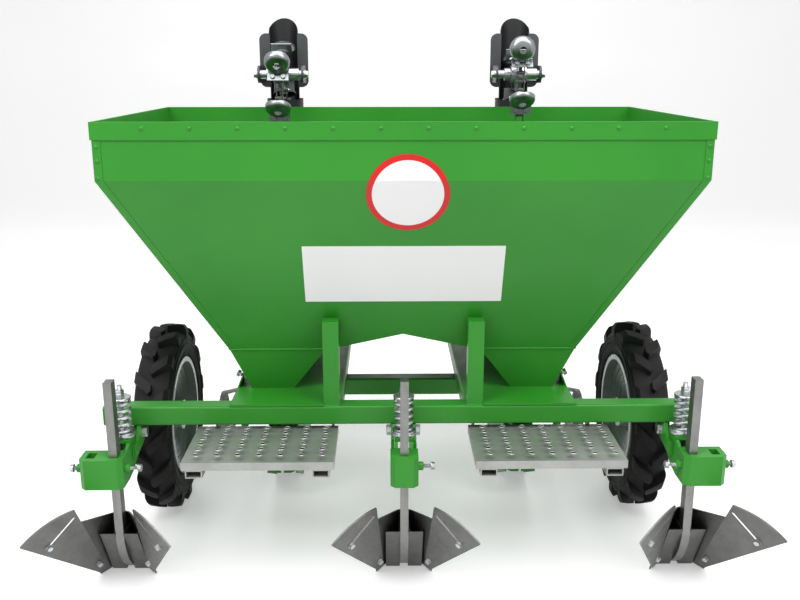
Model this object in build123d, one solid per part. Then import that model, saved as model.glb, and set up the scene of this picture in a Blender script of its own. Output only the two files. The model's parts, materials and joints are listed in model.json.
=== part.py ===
"""Two-row potato planter with a trapezoid hopper, two cup elevators and three sprung hillers.

Millimetres, +Z up from the floor, +Y forward (towards the tractor), +X to the right seen from
behind. Pieces are drawn with the wheel axle at Y = 0 and moved together at the end, so that the
origin lies on the floor under the middle of the machine.
"""
import os
from math import atan2, cos, degrees, hypot, pi, radians, sin

from build123d import *

# Rows and overall places
ROW_X = 350.0            # half the distance between the two planted rows
ELEV_TOP = 1225.0        # upper shaft of the cup elevators
FIT = 0.05              # radial clearance of a running fit
SEAT = 0.3               # clearance between a seated piece and its seat

# Wheels
TYRE_R = 265.0           # over the lugs
TYRE_W = 94.0
WHEEL_OUT = 210.0        # middle of the wheel outside its axle plate
LUG_H = 20.0
LUG_COUNT = 15           # on each side of the tread
LUG_W = 24.0
LUG_ANGLE = 42.0         # slant of a lug from the wheel's own axis
LUG_LAP = 4.0            # inner end of a lug past the middle of the tread
LUG_SHIFT = 6.0          # middle of a lug's bar outside the middle of its half
LUG_ROOT = 22.0          # a lug starts this far under the carcass
LUG_SIDE = 10.0          # and its side ends this far under it
LUG_CROWN = 3.0          # fall of a lug's top towards its edge
LUG_EDGE = 9.0           # width of a lug's rounded edge
LUG_ROUND = 12.0         # middle of that edge below the top
SHOULDER_IN = 4.0        # shoulder of the carcass inside its widest place
SHOULDER_DROP = 12.0     # and below its crown
WIDEST_DROP = 6.0        # widest place below the middle of the side
BEAD_R = 158.0           # where the tyre sits on the rim
RIM_WALL = 4.0
BEAD_IN = 12.0           # tyre bead inside the rim's lip
RIM_LIP = 10.0
RIM_W = 80.0
HUB_R = 42.0
HUB_W = 74.0
DISC_DISH = 20.0        # the disc meets the barrel this far outside its middle
DISC_T = 6.0
STUB_R = 15.0
COLLAR_R = 22.5
COLLAR_T = 8.0
STUB_END = 12.0          # end of the stub axle past the hub

# Frame tubes
BEAM = 50.0              # square tube of the beams and rails
BEAM_WALL = 4.0
BEAM_CORNER = 6.0        # outer corner radius of a square tube
REAR_Y = -305.0
REAR_Z = 390.0
REAR_HALF = 760.0
RAIL_X = 182.0
FRONT_Y = 40.0
FRONT_HALF = 450.0
POST = 40.0
POST_TOP = 635.0
AXLE_PLATE_T = 12.0
AXLE_PLATE_R = 45.0
WHEEL_X = FRONT_HALF + AXLE_PLATE_T + WHEEL_OUT

# Hitch
HITCH_Y = 525.0
LINK_SPAN = 683.0        # between the shoulders of the two lower link pins
LINK_PIN_R = 11.0
LINK_PIN_L = 75.0
LINK_REACH = 42.0        # pin axis in front of the hitch beam's face
MAST_H = 460.0           # top link pin above the lower link pins
MAST_T = 12.0
MAST_GAP = 52.0          # between the two mast plates at the top pin
MAST_BASE = 150.0        # half the spread of the mast legs at the hitch beam
TOP_BORE_R = 9.75        # takes a 19 mm top link pin

# Hopper
SHEET = 4.0
HEAD_UP = 95.0           # upper shaft of the elevators above the hopper's rim
RIM_Z = ELEV_TOP - HEAD_UP
FOLD_DROP = 130.0        # fold between the upright and the sloping part of a panel, below the rim
FOLD_Z = RIM_Z - FOLD_DROP
WELD_Z = 540.0           # where the funnels are welded on
BASE_Z = 421.0           # top of the base plates, where the funnels end
TOP_HALF = 690.0
FUNNEL_OUT = 444.0
FUNNEL_IN = 203.0
MOUTH_OUT = 395.0
MOUTH_IN = 292.0
RIDGE_Z = 590.0
BACK_TOP_Y = -440.0
BACK_WELD_Y = -240.0
BACK_MOUTH_Y = -205.0
FRONT_WALL_Y = 290.0
RIM_H = 40.0
RIM_T = 3.0
BASE_X0 = RAIL_X + POST / 2
BASE_X1 = 439.0
STAY_H = 44.0            # height of the flat stay between a base plate's end and its funnel
STAY_L = 80.0

# Cup elevators
CHAIN_R = 55.0           # pitch radius of the elevator sprockets
CHAIN_T = 12.0
CHAIN_W = 22.0
ELEV_Y = 270.0
ELEV_LOW = 200.0
CUP_COUNT = 22
CUP_START = {"left": 65.0, "right": 88.0}   # lowest cup on the rising side above the lower turn
CUP_R = 35.0
CUP_DEPTH = 30.0
CUP_WALL = 3.0
CUP_OUT = 46.0           # cup axis out from the chain's pitch line
CUP_SIDES = 8
CUP_TAPER = 25.0         # degrees
STEM_LAP = 8.0           # stem of a cup under its wall
SHAFT_R = 12.5
TUBE_R = 55.0
TUBE_WALL = 3.0
TUBE_BACK = 5.0          # tube axis behind the axis of the falling cups
HOOD_UP = 165.0          # top of the hood above the upper shaft
HOOD_TOP = ELEV_TOP + HOOD_UP
HOOD_FOOT = 20.0         # above this height over the rim only the front half of the tube is left
HOOD_CUT = RIM_Z + HOOD_FOOT
HEAD_W = 146.0
HEAD_LOW = 39.0          # cheek plates below the upper shaft
HEAD_HIGH = 119.0        # and above it
HEAD_Z0 = ELEV_TOP - HEAD_LOW
HEAD_Z1 = ELEV_TOP + HEAD_HIGH
HEAD_R = 20.0
HEAD_T = 5.0
EAR_T = 6.0

# Furrow openers
OPENER_W = 88.0
OPENER_T = 4.0
OPENER_LOW = 1.0
OPENER_NOSE = 440.0
OPENER_POINT = 57.2      # point of the nose in front of the side plates
SHAFT_END = 10.0         # end of the lower shaft outside the side plates
OPENER_HEEL_Y = -30.0    # back end of the side plates
OPENER_HEEL_H = 60.0
OPENER_HEEL_Z = 90.0
OPENER_SLIT = 8.0        # between the two halves of the closed heel
HEEL_CORNER = 18.0
OPENER_SOLE_Y = 150.0    # where the sole starts to rise towards the heel

# Wheel drive to the elevators
DRIVE_GAP = 46.0         # between the axle plate and the chain
DRIVE_R = 62.0
DRIVE_SMALL_R = 40.0
DRIVE_T = 10.0
DRIVE_W = 14.0
DRIVE_X = FRONT_HALF + AXLE_PLATE_T + DRIVE_GAP + DRIVE_W / 2

# Loading platforms
STEP_X0 = 167.0
STEP_X1 = 525.0
STEP_Y0 = -526.0
STEP_Y1 = -304.0
STEP_Z = 352.0
STEP_LIP = 20.0
STEP_T = 3.0
STEP_TUBE_X = (198.0, 496.0)
STEP_TUBE_W = 40.0
STEP_TUBE_H = 20.0

# Hillers
HILLER_X = 2 * ROW_X
SHANK_Y = -450.0
SHANK_W = 20.0
SHANK_D = 30.0
SHANK_TOP = 528.0
SHANK_BEND_R = 150.0
SHANK_TURN = 60.0        # degrees of the bend
CLAMP_Z = 300.0
CLAMP_HALF = 34.0        # half width of the middle hiller's clamp
CLAMP_IN = 23.0          # an outer clamp reaches this far towards the machine's middle
CLAMP_OUT = 80.0         # and this far outwards
SPARE_X = 56.0           # its empty second socket beside the shank
CLAMP_D = 62.0
CLAMP_H = 76.0
CLAMP_CORNER = 12.0
PIVOT_Z = 340.0
PIVOT_R = 8.0
ARM_T = 8.0
ARM_GAP = 30.0           # between the two arm plates
ARM_END = 18.0           # end of the arm in front of its pivot
ARM_HALF = 16.0          # half height of the arm at its pivot
ARM_PLAY = 1.0           # between an arm and its pivot plate
BRACKET_T = 8.0
BRACKET_FRONT = 22.0     # front edge of the pivot plates in front of the beam's axis
BRACKET_EDGE = 14.0      # metal round the stop bar
STOP_DROP = 28.0         # stop bar of the spring rod below the pivot
SPRING_Y = -372.0
SPRING_R = 25.0
SPRING_WIRE = 7.0
SPRING_COILS = 6
SPRING_Z0 = 362.0
SPRING_Z1 = 455.0
ROD_R = 6.0
ROD_TOP = 490.0
ROD_PLAY = 1.0           # round the rod in the spring's seat
ROD_CLEAR = 4.0          # round the stop bar in the arm
CUP_WASHER_R = 30.0
WASHER_LAP = 1.0
WASHER_T = 5.0
SPRING_SEAT = 30.0       # half length of the plate under the spring
WING_T = 4.0
LEAN = 28.5              # degrees that the share and its wings lean back
NOSE_OUT = 150.0         # sharp corner of the share's V in front of the shank
NOSE_R = 24.0            # rounding of that corner
KNEE_X = 72.0            # where share and wing meet
KNEE_OUT = 30.0
SHARE_TOP = 175.0        # height of the share at its nose
SHARE_SIDE = 205.0       # and at its ends
RIB_X = 46.0             # outer rib of the share's bracket
RIB_BACK = 54.0          # back of that bracket in front of the shank
RIB_TOP = 140.0
WING_HIGH = 289.0        # inner edge of a wing along the share's end
WING_LAP = 20.0          # lower inner corner of a wing inside the share's end
WING_FOOT = 14.0
TIP_X = 173.0
TIP_BACK = 185.0
TIP_Z = 202.0
FAN_BULGE = 16.0         # rise of a wing's curved edge above its chord
SLOT_W = 9.0
SLOT_IN = 26.0           # upper end of the slot below the wing's upper corner
SLOT_ALONG = 0.8         # its lower end, as shares of the tip's way up and across
SLOT_ACROSS = 0.6

SIDES = (("left", -1), ("right", 1))
kept = {}


def keep(node, shape):
    """Remember a finished piece under its node name."""
    kept[node] = shape


def block(x0, x1, y0, y1, z0, z1):
    """A box between two corners."""
    return Pos((x0 + x1) / 2, (y0 + y1) / 2, (z0 + z1) / 2) * Box(x1 - x0, y1 - y0, z1 - z0)


def slab_yz(points, x0, x1):
    """A side outline of (y, z) points carried from x0 to x1."""
    return extrude(Plane.YZ.offset(x0) * Polygon(*points, align=None), x1 - x0, dir=(1, 0, 0))


def slab_xz(points, y0, y1):
    """A rear outline of (x, z) points carried from y0 to y1."""
    return extrude(Plane.XZ.offset(-y0) * Polygon(*points, align=None), y1 - y0, dir=(0, 1, 0))


def slab_xy(points, z0, z1):
    """A plan outline of (x, y) points carried from z0 to z1."""
    return extrude(Plane.XY.offset(z0) * Polygon(*points, align=None), z1 - z0, dir=(0, 0, 1))


def rod_x(radius, x0, x1, y, z):
    """A round bar along X."""
    return Pos((x0 + x1) / 2, y, z) * Rot(0, 90, 0) * Cylinder(radius, x1 - x0)


def rod_z(radius, x, y, z0, z1):
    """A round bar along Z."""
    return Pos(x, y, (z0 + z1) / 2) * Cylinder(radius, z1 - z0)


def on_side(shape, sign):
    """A piece drawn on the right, or its mirror image on the left."""
    return shape if sign > 0 else mirror(shape, about=Plane.YZ)


def square_tube_x(half, y, z):
    """A square tube along X, open at both ends."""
    return extrude(Plane.YZ.offset(-half) * Pos(y, z) * tube_section(), 2 * half, dir=(1, 0, 0))


def tube_section():
    """The wall of a square tube with rounded corners."""
    inner = BEAM - 2 * BEAM_WALL
    return RectangleRounded(BEAM, BEAM, BEAM_CORNER) - RectangleRounded(inner, inner, BEAM_CORNER - BEAM_WALL)


def offset_line(points, distance):
    """A chain of straight runs moved sideways, with mitred corners, to the left of its travel."""
    moved = []
    for here in range(len(points)):
        normals = []
        for a, b in ((here - 1, here), (here, here + 1)):
            if a >= 0 and b < len(points):
                du, dv = points[b][0] - points[a][0], points[b][1] - points[a][1]
                length = hypot(du, dv)
                normals.append((-dv / length, du / length))
        nu = sum(n[0] for n in normals) / len(normals)
        nv = sum(n[1] for n in normals) / len(normals)
        scale = distance / (nu * nu + nv * nv)
        moved.append((points[here][0] + nu * scale, points[here][1] + nv * scale))
    return moved


def strip(points, distance):
    """The outline of a sheet of even thickness along a chain of straight runs."""
    return points + offset_line(points, distance)[::-1]


# Frame

def frame_pieces():
    """Beams, rails, base plates and posts of the square-tube frame."""
    top, low = REAR_Z + BEAM / 2, REAR_Z - BEAM / 2
    keep("rear_beam", square_tube_x(REAR_HALF, REAR_Y, REAR_Z) + hiller_brackets(low))
    front = square_tube_x(FRONT_HALF, FRONT_Y, low - BEAM / 2)
    for _, sign in SIDES:
        front += on_side(axle_plate(low), sign)
    keep("front_beam", front)
    rail_y = REAR_Y + BEAM / 2
    section = Plane.XZ.offset(-rail_y) * Pos(RAIL_X, REAR_Z) * tube_section()
    rail = extrude(section, HITCH_Y - BEAM / 2 - rail_y, dir=(0, 1, 0))
    base = block(BASE_X0, BASE_X1, REAR_Y - BEAM / 2, FRONT_WALL_Y + SHEET, top, BASE_Z)
    base -= block(MOUTH_IN, MOUTH_OUT, boot_back(), FRONT_WALL_Y, top, BASE_Z)
    base += funnel_stay()
    post = block(RAIL_X - POST / 2, RAIL_X + POST / 2, REAR_Y - POST / 2, REAR_Y + POST / 2, top, POST_TOP)
    post -= slab_yz(hopper_back() + [(FRONT_WALL_Y, WELD_Z), (FRONT_WALL_Y, RIM_Z)], 0, FRONT_HALF)
    for side, sign in SIDES:
        keep(f"rail_{side}", on_side(rail, sign))
        keep(f"base_plate_{side}", on_side(base, sign))
        keep(f"hopper_post_{side}", on_side(post, sign))


def funnel_stay():
    """A flat stay that leans from the end of a base plate against the outer wall of its funnel."""
    wall = MOUTH_OUT + SHEET + (FUNNEL_OUT - MOUTH_OUT) * STAY_H / (WELD_Z - BASE_Z) + SEAT
    top = BASE_Z + STAY_H
    outline = [(BASE_X1 - SHEET, BASE_Z), (BASE_X1, BASE_Z), (wall + SHEET, top), (wall, top)]
    return slab_xz(outline, BACK_MOUTH_Y, BACK_MOUTH_Y + STAY_L)


def axle_plate(low):
    """The upright plate on the end of the front beam that holds a stub axle."""
    x0, x1 = FRONT_HALF, FRONT_HALF + AXLE_PLATE_T
    plate = rod_x(AXLE_PLATE_R, x0, x1, 0, TYRE_R)
    plate += block(x0, x1, -AXLE_PLATE_R, FRONT_Y + BEAM / 2, TYRE_R, low)
    return plate - rod_x(STUB_R + FIT, x0, x1, 0, TYRE_R)


def hiller_brackets(low):
    """Pairs of pivot plates under the rear beam, each pair with the bar that holds a spring rod."""
    near, front, bar_z = ARM_GAP / 2 + ARM_T + ARM_PLAY, REAR_Y + BRACKET_FRONT, PIVOT_Z - STOP_DROP
    shoulder = bar_z + 1.6 * BRACKET_EDGE
    outline = [(front, low), (REAR_Y - BEAM / 2, low), (SPRING_Y + BRACKET_EDGE, shoulder),
               (SPRING_Y - BRACKET_EDGE, shoulder), (SPRING_Y - BRACKET_EDGE, bar_z - BRACKET_EDGE),
               (front, bar_z + BRACKET_EDGE / 2)]
    pair = slab_yz(outline, near, near + BRACKET_T) + slab_yz(outline, -near - BRACKET_T, -near)
    pair += rod_x(ROD_R, -near, near, SPRING_Y, bar_z)
    bolt_end = near + BRACKET_T + PIVOT_R
    pair += rod_x(PIVOT_R, -bolt_end, bolt_end, REAR_Y, PIVOT_Z)
    return [Pos(x, 0, 0) * pair for x in (-HILLER_X, 0, HILLER_X)]


def boot_back():
    """Back edge of the opening through which the cups rise, against the front beam."""
    return FRONT_Y + BEAM / 2 + OPENER_T


# Hopper

def hopper_back():
    """Outside of the rear panel in side view, from the rim down to the funnels."""
    return offset_line(hopper_back_inside(), -SHEET)


def hopper_back_inside():
    return [(BACK_TOP_Y, RIM_Z), (BACK_TOP_Y, FOLD_Z), (BACK_WELD_Y, WELD_Z)]


def hopper_pieces():
    """Flat panels that meet at their edges: the ends lie over the sides and the saddle."""
    side_line = [(TOP_HALF, RIM_Z), (TOP_HALF, FOLD_Z), (FUNNEL_OUT, WELD_Z)]
    saddle_line = [(-FUNNEL_IN, WELD_Z), (0, RIDGE_Z), (FUNNEL_IN, WELD_Z)]
    inside = slab_yz(hopper_back_inside() + [(FRONT_WALL_Y, WELD_Z), (FRONT_WALL_Y, RIM_Z)],
                     -2 * TOP_HALF, 2 * TOP_HALF)
    above_weld = block(-2 * TOP_HALF, 2 * TOP_HALF, 2 * BACK_TOP_Y, 2 * FRONT_WALL_Y, WELD_Z, RIM_Z)
    right = offset_line(side_line, SHEET)
    left = [(-x, z) for x, z in right]
    under = offset_line(saddle_line, -SHEET)
    outline = right + under[::-1] + left[::-1]
    reach = (2 * BACK_TOP_Y, 2 * FRONT_WALL_Y)
    rear = slab_yz(strip(hopper_back_inside(), -SHEET), -2 * TOP_HALF, 2 * TOP_HALF)
    keep("hopper_rear_panel", rear & slab_xz(outline, *reach) & above_weld)
    keep("hopper_front_panel", slab_xz(outline, FRONT_WALL_Y, FRONT_WALL_Y + SHEET) & above_weld)
    keep("hopper_saddle", slab_xz(strip(saddle_line, -SHEET), *reach) & inside & above_weld)
    side_panel = slab_xz(strip(side_line, SHEET), *reach) & inside & above_weld
    for side, sign in SIDES:
        keep(f"hopper_side_{side}", on_side(side_panel, sign))
        keep(f"funnel_{side}", on_side(funnel(), sign))
    keep("hopper_rim", hopper_rim())


def hopper_rim():
    """A folded band round the outside of the hopper's mouth."""
    x, y0, y1 = TOP_HALF + SHEET, BACK_TOP_Y - SHEET, FRONT_WALL_Y + SHEET
    band = block(-x - RIM_T, x + RIM_T, y0 - RIM_T, y1 + RIM_T, RIM_Z - RIM_H, RIM_Z)
    return band - block(-x, x, y0, y1, RIM_Z - RIM_H, RIM_Z)


def funnel():
    """The four-sided funnel under one half of the hopper, upright at its front."""
    def frustum(wall):
        sections = ((WELD_Z, FUNNEL_IN, FUNNEL_OUT, BACK_WELD_Y), (BASE_Z, MOUTH_IN, MOUTH_OUT, BACK_MOUTH_Y))
        faces = []
        for z, x_in, x_out, y_back in sections:
            corners = [(x_in - wall, y_back - wall), (x_out + wall, y_back - wall),
                       (x_out + wall, FRONT_WALL_Y + wall), (x_in - wall, FRONT_WALL_Y + wall)]
            faces.append(Plane.XY.offset(z) * Polygon(*corners, align=None))
        return loft(faces, ruled=True)
    return frustum(SHEET) - frustum(0)


# Cup elevators

def tube_y():
    """Axis of the drop tube, which the falling cups fill."""
    return ELEV_Y + CHAIN_R + CUP_OUT - TUBE_BACK


def elevator_pieces():
    for side, sign in SIDES:
        at = Pos(sign * ROW_X, 0, 0)
        keep(f"drop_tube_{side}", at * drop_tube())
        keep(f"head_plates_{side}", at * head_plates())
        keep(f"upper_sprocket_{side}", at * upper_sprocket())
        keep(f"cup_chain_{side}", at * cup_chain(CUP_START[side]))
        keep(f"furrow_opener_{side}", at * furrow_opener())
        keep(f"lower_sprocket_{side}", on_side(lower_sprocket(), sign))
        keep(f"drive_chain_{side}", on_side(drive_chain(), sign))


def drop_tube():
    """The tube the potatoes fall in, cut to a half pipe with a round top beside the upper sprocket."""
    y, low = tube_y(), REAR_Z + BEAM / 2
    tube = rod_z(TUBE_R, 0, y, low, HOOD_CUT)
    rim_face = FRONT_WALL_Y + SHEET + RIM_T
    tube += block(-POST / 2, POST / 2, rim_face, y, RIM_Z - RIM_H, RIM_Z)
    tube -= rod_z(TUBE_R - TUBE_WALL, 0, y, low, HOOD_CUT)
    hood_r = TUBE_R - 2 * TUBE_WALL - HEAD_T
    arch = Rectangle(2 * hood_r, HOOD_TOP - hood_r - HOOD_CUT, align=(Align.CENTER, Align.MIN))
    arch += Pos(0, HOOD_TOP - hood_r - HOOD_CUT) * Circle(hood_r)
    arch = extrude(Plane.XZ.offset(-y) * Pos(0, HOOD_CUT) * arch, -hood_r)
    hood = rod_z(hood_r, 0, y, HOOD_CUT, HOOD_TOP) - rod_z(hood_r - TUBE_WALL, 0, y, HOOD_CUT, HOOD_TOP)
    shelf = rod_z(TUBE_R, 0, y, HOOD_CUT, HOOD_CUT + TUBE_WALL)
    shelf -= rod_z(hood_r - TUBE_WALL, 0, y, HOOD_CUT, HOOD_CUT + TUBE_WALL)
    shelf &= block(-TUBE_R, TUBE_R, y, y + TUBE_R, HOOD_CUT, HOOD_CUT + TUBE_WALL)
    return tube + (hood & arch) + shelf


def head_plates():
    """Two rounded cheek plates beside the hood, each with the arm that carries the upper shaft."""
    y, hood_r = tube_y(), TUBE_R - 2 * TUBE_WALL - HEAD_T
    plate = RectangleRounded(HEAD_W, HEAD_Z1 - HEAD_Z0, HEAD_R)
    plate = extrude(Plane.XZ.offset(-y) * Pos(0, (HEAD_Z0 + HEAD_Z1) / 2) * plate, HEAD_T)
    plate -= block(-hood_r + TUBE_WALL, hood_r - TUBE_WALL, y - HEAD_T, y, HEAD_Z0, HEAD_Z1)
    ear = HEAD_W / 2 - EAR_T
    arms = []
    for sign in (-1, 1):
        x0, x1 = sorted((sign * ear, sign * (ear - EAR_T)))
        arm = block(x0, x1, ELEV_Y, y - HEAD_T, ELEV_TOP - 2 * SHAFT_R, ELEV_TOP + 2 * SHAFT_R)
        arm += rod_x(2 * SHAFT_R, x0, x1, ELEV_Y, ELEV_TOP)
        arms.append(arm - rod_x(SHAFT_R + FIT, x0, x1, ELEV_Y, ELEV_TOP))
    return plate + arms


def upper_sprocket():
    """The chain wheel at the elevator's head on its shaft."""
    half = HEAD_W / 2
    wheel = rod_x(CHAIN_R - CHAIN_T / 2 - SEAT, -CHAIN_W / 4, CHAIN_W / 4, ELEV_Y, ELEV_TOP)
    shaft = rod_x(SHAFT_R, -half, half, ELEV_Y, ELEV_TOP)
    return wheel + shaft + rod_x(2 * SHAFT_R, -CHAIN_W, CHAIN_W, ELEV_Y, ELEV_TOP)


def lower_sprocket():
    """The chain wheel at the elevator's foot on the shaft that the wheel drive turns."""
    wheel = rod_x(CHAIN_R - CHAIN_T / 2 - SEAT, ROW_X - CHAIN_W / 4, ROW_X + CHAIN_W / 4, ELEV_Y, ELEV_LOW)
    shaft = rod_x(SHAFT_R, ROW_X - OPENER_W / 2 - SHAFT_END, DRIVE_X + DRIVE_W, ELEV_Y, ELEV_LOW)
    return wheel + shaft


def chain_point(distance):
    """Place on the elevator chain and its direction of travel, rising at the back."""
    straight, half_turn = ELEV_TOP - ELEV_LOW, pi * CHAIN_R
    distance %= 2 * (straight + half_turn)
    if distance < straight:
        return ELEV_Y - CHAIN_R, ELEV_LOW + distance, 90.0
    distance -= straight
    if distance < half_turn:
        turn = distance / CHAIN_R
        return ELEV_Y - CHAIN_R * cos(turn), ELEV_TOP + CHAIN_R * sin(turn), 90.0 - degrees(turn)
    distance -= half_turn
    if distance < straight:
        return ELEV_Y + CHAIN_R, ELEV_TOP - distance, -90.0
    turn = (distance - straight) / CHAIN_R
    return ELEV_Y + CHAIN_R * cos(turn), ELEV_LOW - CHAIN_R * sin(turn), -90.0 - degrees(turn)


def cup():
    """One pressed cup on its stem: the chain runs along local X, the cup stands out along local Y."""
    outer = extrude(RegularPolygon(CUP_R, CUP_SIDES), -CUP_DEPTH, taper=CUP_TAPER)
    bowl = outer - Pos(0, 0, CUP_WALL) * outer
    bowl -= Pos(0, 0, -CUP_DEPTH) * Box(CUP_R / 2, CUP_R / 2, CUP_DEPTH)
    reach = CUP_OUT - CUP_R + STEM_LAP
    stem = Box(CHAIN_W, reach, 2 * CUP_WALL, align=(Align.CENTER, Align.MIN, Align.MAX))
    shape = Pos(0, CUP_OUT, 0) * bowl + stem
    return Rot(0, 90, 0) * shape


def cup_chain(start):
    """The endless elevator chain with its cups, mouths up on the rising side."""
    length = ELEV_TOP - ELEV_LOW
    outer = SlotCenterToCenter(length, 2 * CHAIN_R + CHAIN_T)
    slot = outer - SlotCenterToCenter(length, 2 * CHAIN_R - CHAIN_T)
    middle = Pos(-CHAIN_W / 2, ELEV_Y, (ELEV_TOP + ELEV_LOW) / 2)
    band = middle * extrude(Plane.YZ * Rot(0, 0, 90) * slot, CHAIN_W)
    pitch = 2 * (length + pi * CHAIN_R) / CUP_COUNT
    one = cup()
    cups = []
    for number in range(CUP_COUNT):
        y, z, heading = chain_point(start + number * pitch)
        ahead = (0, cos(radians(heading)), sin(radians(heading)))
        place = Plane(origin=(0, y, z), x_dir=ahead, z_dir=(1, 0, 0))
        cups.append(place.location * one)
    return band + cups


def furrow_opener():
    """Two side plates round the elevator's foot, closed by a pointed nose and by a heel with a slit."""
    back, top = FRONT_Y + BEAM / 2, REAR_Z + BEAM / 2
    heel = OPENER_HEEL_Z + OPENER_HEEL_H
    outline = [(OPENER_HEEL_Y, OPENER_HEEL_Z), (OPENER_SOLE_Y, OPENER_LOW), (OPENER_NOSE, OPENER_LOW),
               (OPENER_NOSE, top), (back, top), (back, heel + OPENER_W), (OPENER_HEEL_Y, heel)]
    half = OPENER_W / 2
    plates = slab_yz(outline, half - OPENER_T, half) + slab_yz(outline, -half, OPENER_T - half)
    for sign in (-1, 1):
        x0, x1 = sorted((sign * half, sign * (half - OPENER_T)))
        plates -= rod_x(SHAFT_R + FIT, x0, x1, ELEV_Y, ELEV_LOW)
    low, cut = OPENER_HEEL_Z, HEEL_CORNER
    heel_plate = slab_xz([(OPENER_SLIT / 2, low), (half - cut, low), (half - cut / 3, low + cut / 3),
                          (half, low + cut), (half, heel), (OPENER_SLIT / 2, heel)],
                         OPENER_HEEL_Y, OPENER_HEEL_Y + OPENER_T)
    plates += heel_plate + mirror(heel_plate, about=Plane.YZ)
    nose = strip([(-half, OPENER_NOSE), (0, OPENER_NOSE + OPENER_POINT), (half, OPENER_NOSE)], -OPENER_T)
    return plates + slab_xy(nose, OPENER_LOW, REAR_Z - BEAM / 2 - OPENER_T)


def belt_loop(width):
    """The outline of a loop round the two drive sprockets, its edge at a height above the pitch line."""
    rims = Pos(0, TYRE_R) * Circle(DRIVE_R + width) + Pos(ELEV_Y, ELEV_LOW) * Circle(DRIVE_SMALL_R + width)
    return make_hull(rims.edges())


def drive_chain():
    """The chain from the wheel axle to the elevator's foot, on its two sprockets."""
    loop = belt_loop(DRIVE_T / 2) - belt_loop(-DRIVE_T / 2)
    chain = extrude(Plane.YZ.offset(DRIVE_X - DRIVE_W / 2) * loop, DRIVE_W)
    x0, x1 = DRIVE_X - DRIVE_W / 4, DRIVE_X + DRIVE_W / 4
    wheels = ((DRIVE_R, STUB_R, 0, TYRE_R), (DRIVE_SMALL_R, SHAFT_R, ELEV_Y, ELEV_LOW))
    for pitch_r, bore_r, y, z in wheels:
        chain += rod_x(pitch_r, x0, x1, y, z)
        chain -= rod_x(bore_r + FIT, x0, x1, y, z)
    return chain


# Loading platforms

def platform():
    """A lipped step of sheet on two flat tubes that hang under the rear beam."""
    low = STEP_Z - STEP_LIP
    sheet = block(STEP_X0, STEP_X1, STEP_Y0, STEP_Y1, low, STEP_Z)
    sheet -= block(STEP_X0 + STEP_T, STEP_X1 - STEP_T, STEP_Y0 + STEP_T, STEP_Y1 - STEP_T,
                   low, STEP_Z - STEP_T)
    reach = REAR_Y + BEAM / 2
    for x in STEP_TUBE_X:
        half = STEP_TUBE_W / 2
        tube = block(x - half, x + half, STEP_Y0 + STEP_T / 2, reach, low - STEP_TUBE_H, low)
        tube -= block(x - half + STEP_T, x + half - STEP_T, STEP_Y0 + STEP_T / 2, reach,
                      low - STEP_TUBE_H + STEP_T, low - STEP_T)
        hanger = block(x - half, x - half + 2 * STEP_T, STEP_Y1, reach, low, REAR_Z - BEAM / 2)
        sheet += tube + hanger
    return sheet


# Hitch

def hitch_pieces():
    """The hitch beam with its lower link pins and the mast with the top link bore."""
    low, top, face = REAR_Z - BEAM / 2, REAR_Z + BEAM / 2, HITCH_Y + BEAM / 2
    shoulder = LINK_SPAN / 2
    beam = square_tube_x(shoulder - MAST_T, HITCH_Y, REAR_Z)
    lug = block(shoulder - MAST_T, shoulder, HITCH_Y - BEAM / 2, face + LINK_REACH, low, top)
    lug += rod_x(BEAM / 2, shoulder - MAST_T, shoulder, face + LINK_REACH, REAR_Z)
    lug += rod_x(LINK_PIN_R, shoulder, shoulder + LINK_PIN_L, face + LINK_REACH, REAR_Z)
    for _, sign in SIDES:
        beam += on_side(lug, sign)
    keep("hitch_beam", beam)
    pin_z, half = REAR_Z + MAST_H, MAST_GAP / 2
    cheek_low = pin_z - 2 * BEAM
    leg = slab_xz([(MAST_BASE, top), (MAST_BASE + BEAM, top), (half + MAST_T, pin_z), (half, pin_z),
                   (half, cheek_low)], HITCH_Y - MAST_T / 2, HITCH_Y + MAST_T / 2)
    cheek = block(half, half + MAST_T, HITCH_Y - BEAM / 2, face + LINK_REACH / 2, cheek_low, pin_z)
    cheek += rod_x(BEAM / 2, half, half + MAST_T, face + LINK_REACH / 2, pin_z)
    cheek += block(half, half + MAST_T, HITCH_Y - BEAM / 2, face + LINK_REACH / 2, pin_z, pin_z + BEAM / 2)
    mast = block(-half, half, HITCH_Y - MAST_T / 2, HITCH_Y + MAST_T / 2, cheek_low, cheek_low + BEAM)
    for _, sign in SIDES:
        mast += on_side(leg + cheek, sign)
    bore = rod_x(TOP_BORE_R, -half - MAST_T, half + MAST_T, face + LINK_REACH / 2, pin_z)
    keep("hitch_mast", mast - bore)


# Hillers

def clamp(inner, outer, sockets):
    """The box that grips the shank, its rear corners cut off, with an upright socket at each given X."""
    half_d, low, high = CLAMP_D / 2, CLAMP_Z - CLAMP_H / 2, CLAMP_Z + CLAMP_H / 2
    box = block(-inner, outer, SHANK_Y - half_d, SHANK_Y + half_d, low, high)
    box = chamfer(box.edges().filter_by(Axis.Z).group_by(Axis.Y)[0], CLAMP_CORNER)
    hole_w, hole_d = SHANK_W / 2 + SEAT, SHANK_D / 2 + SEAT
    for x in sockets:
        box -= block(x - hole_w, x + hole_w, SHANK_Y - hole_d, SHANK_Y + hole_d, low, high)
    return box


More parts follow.
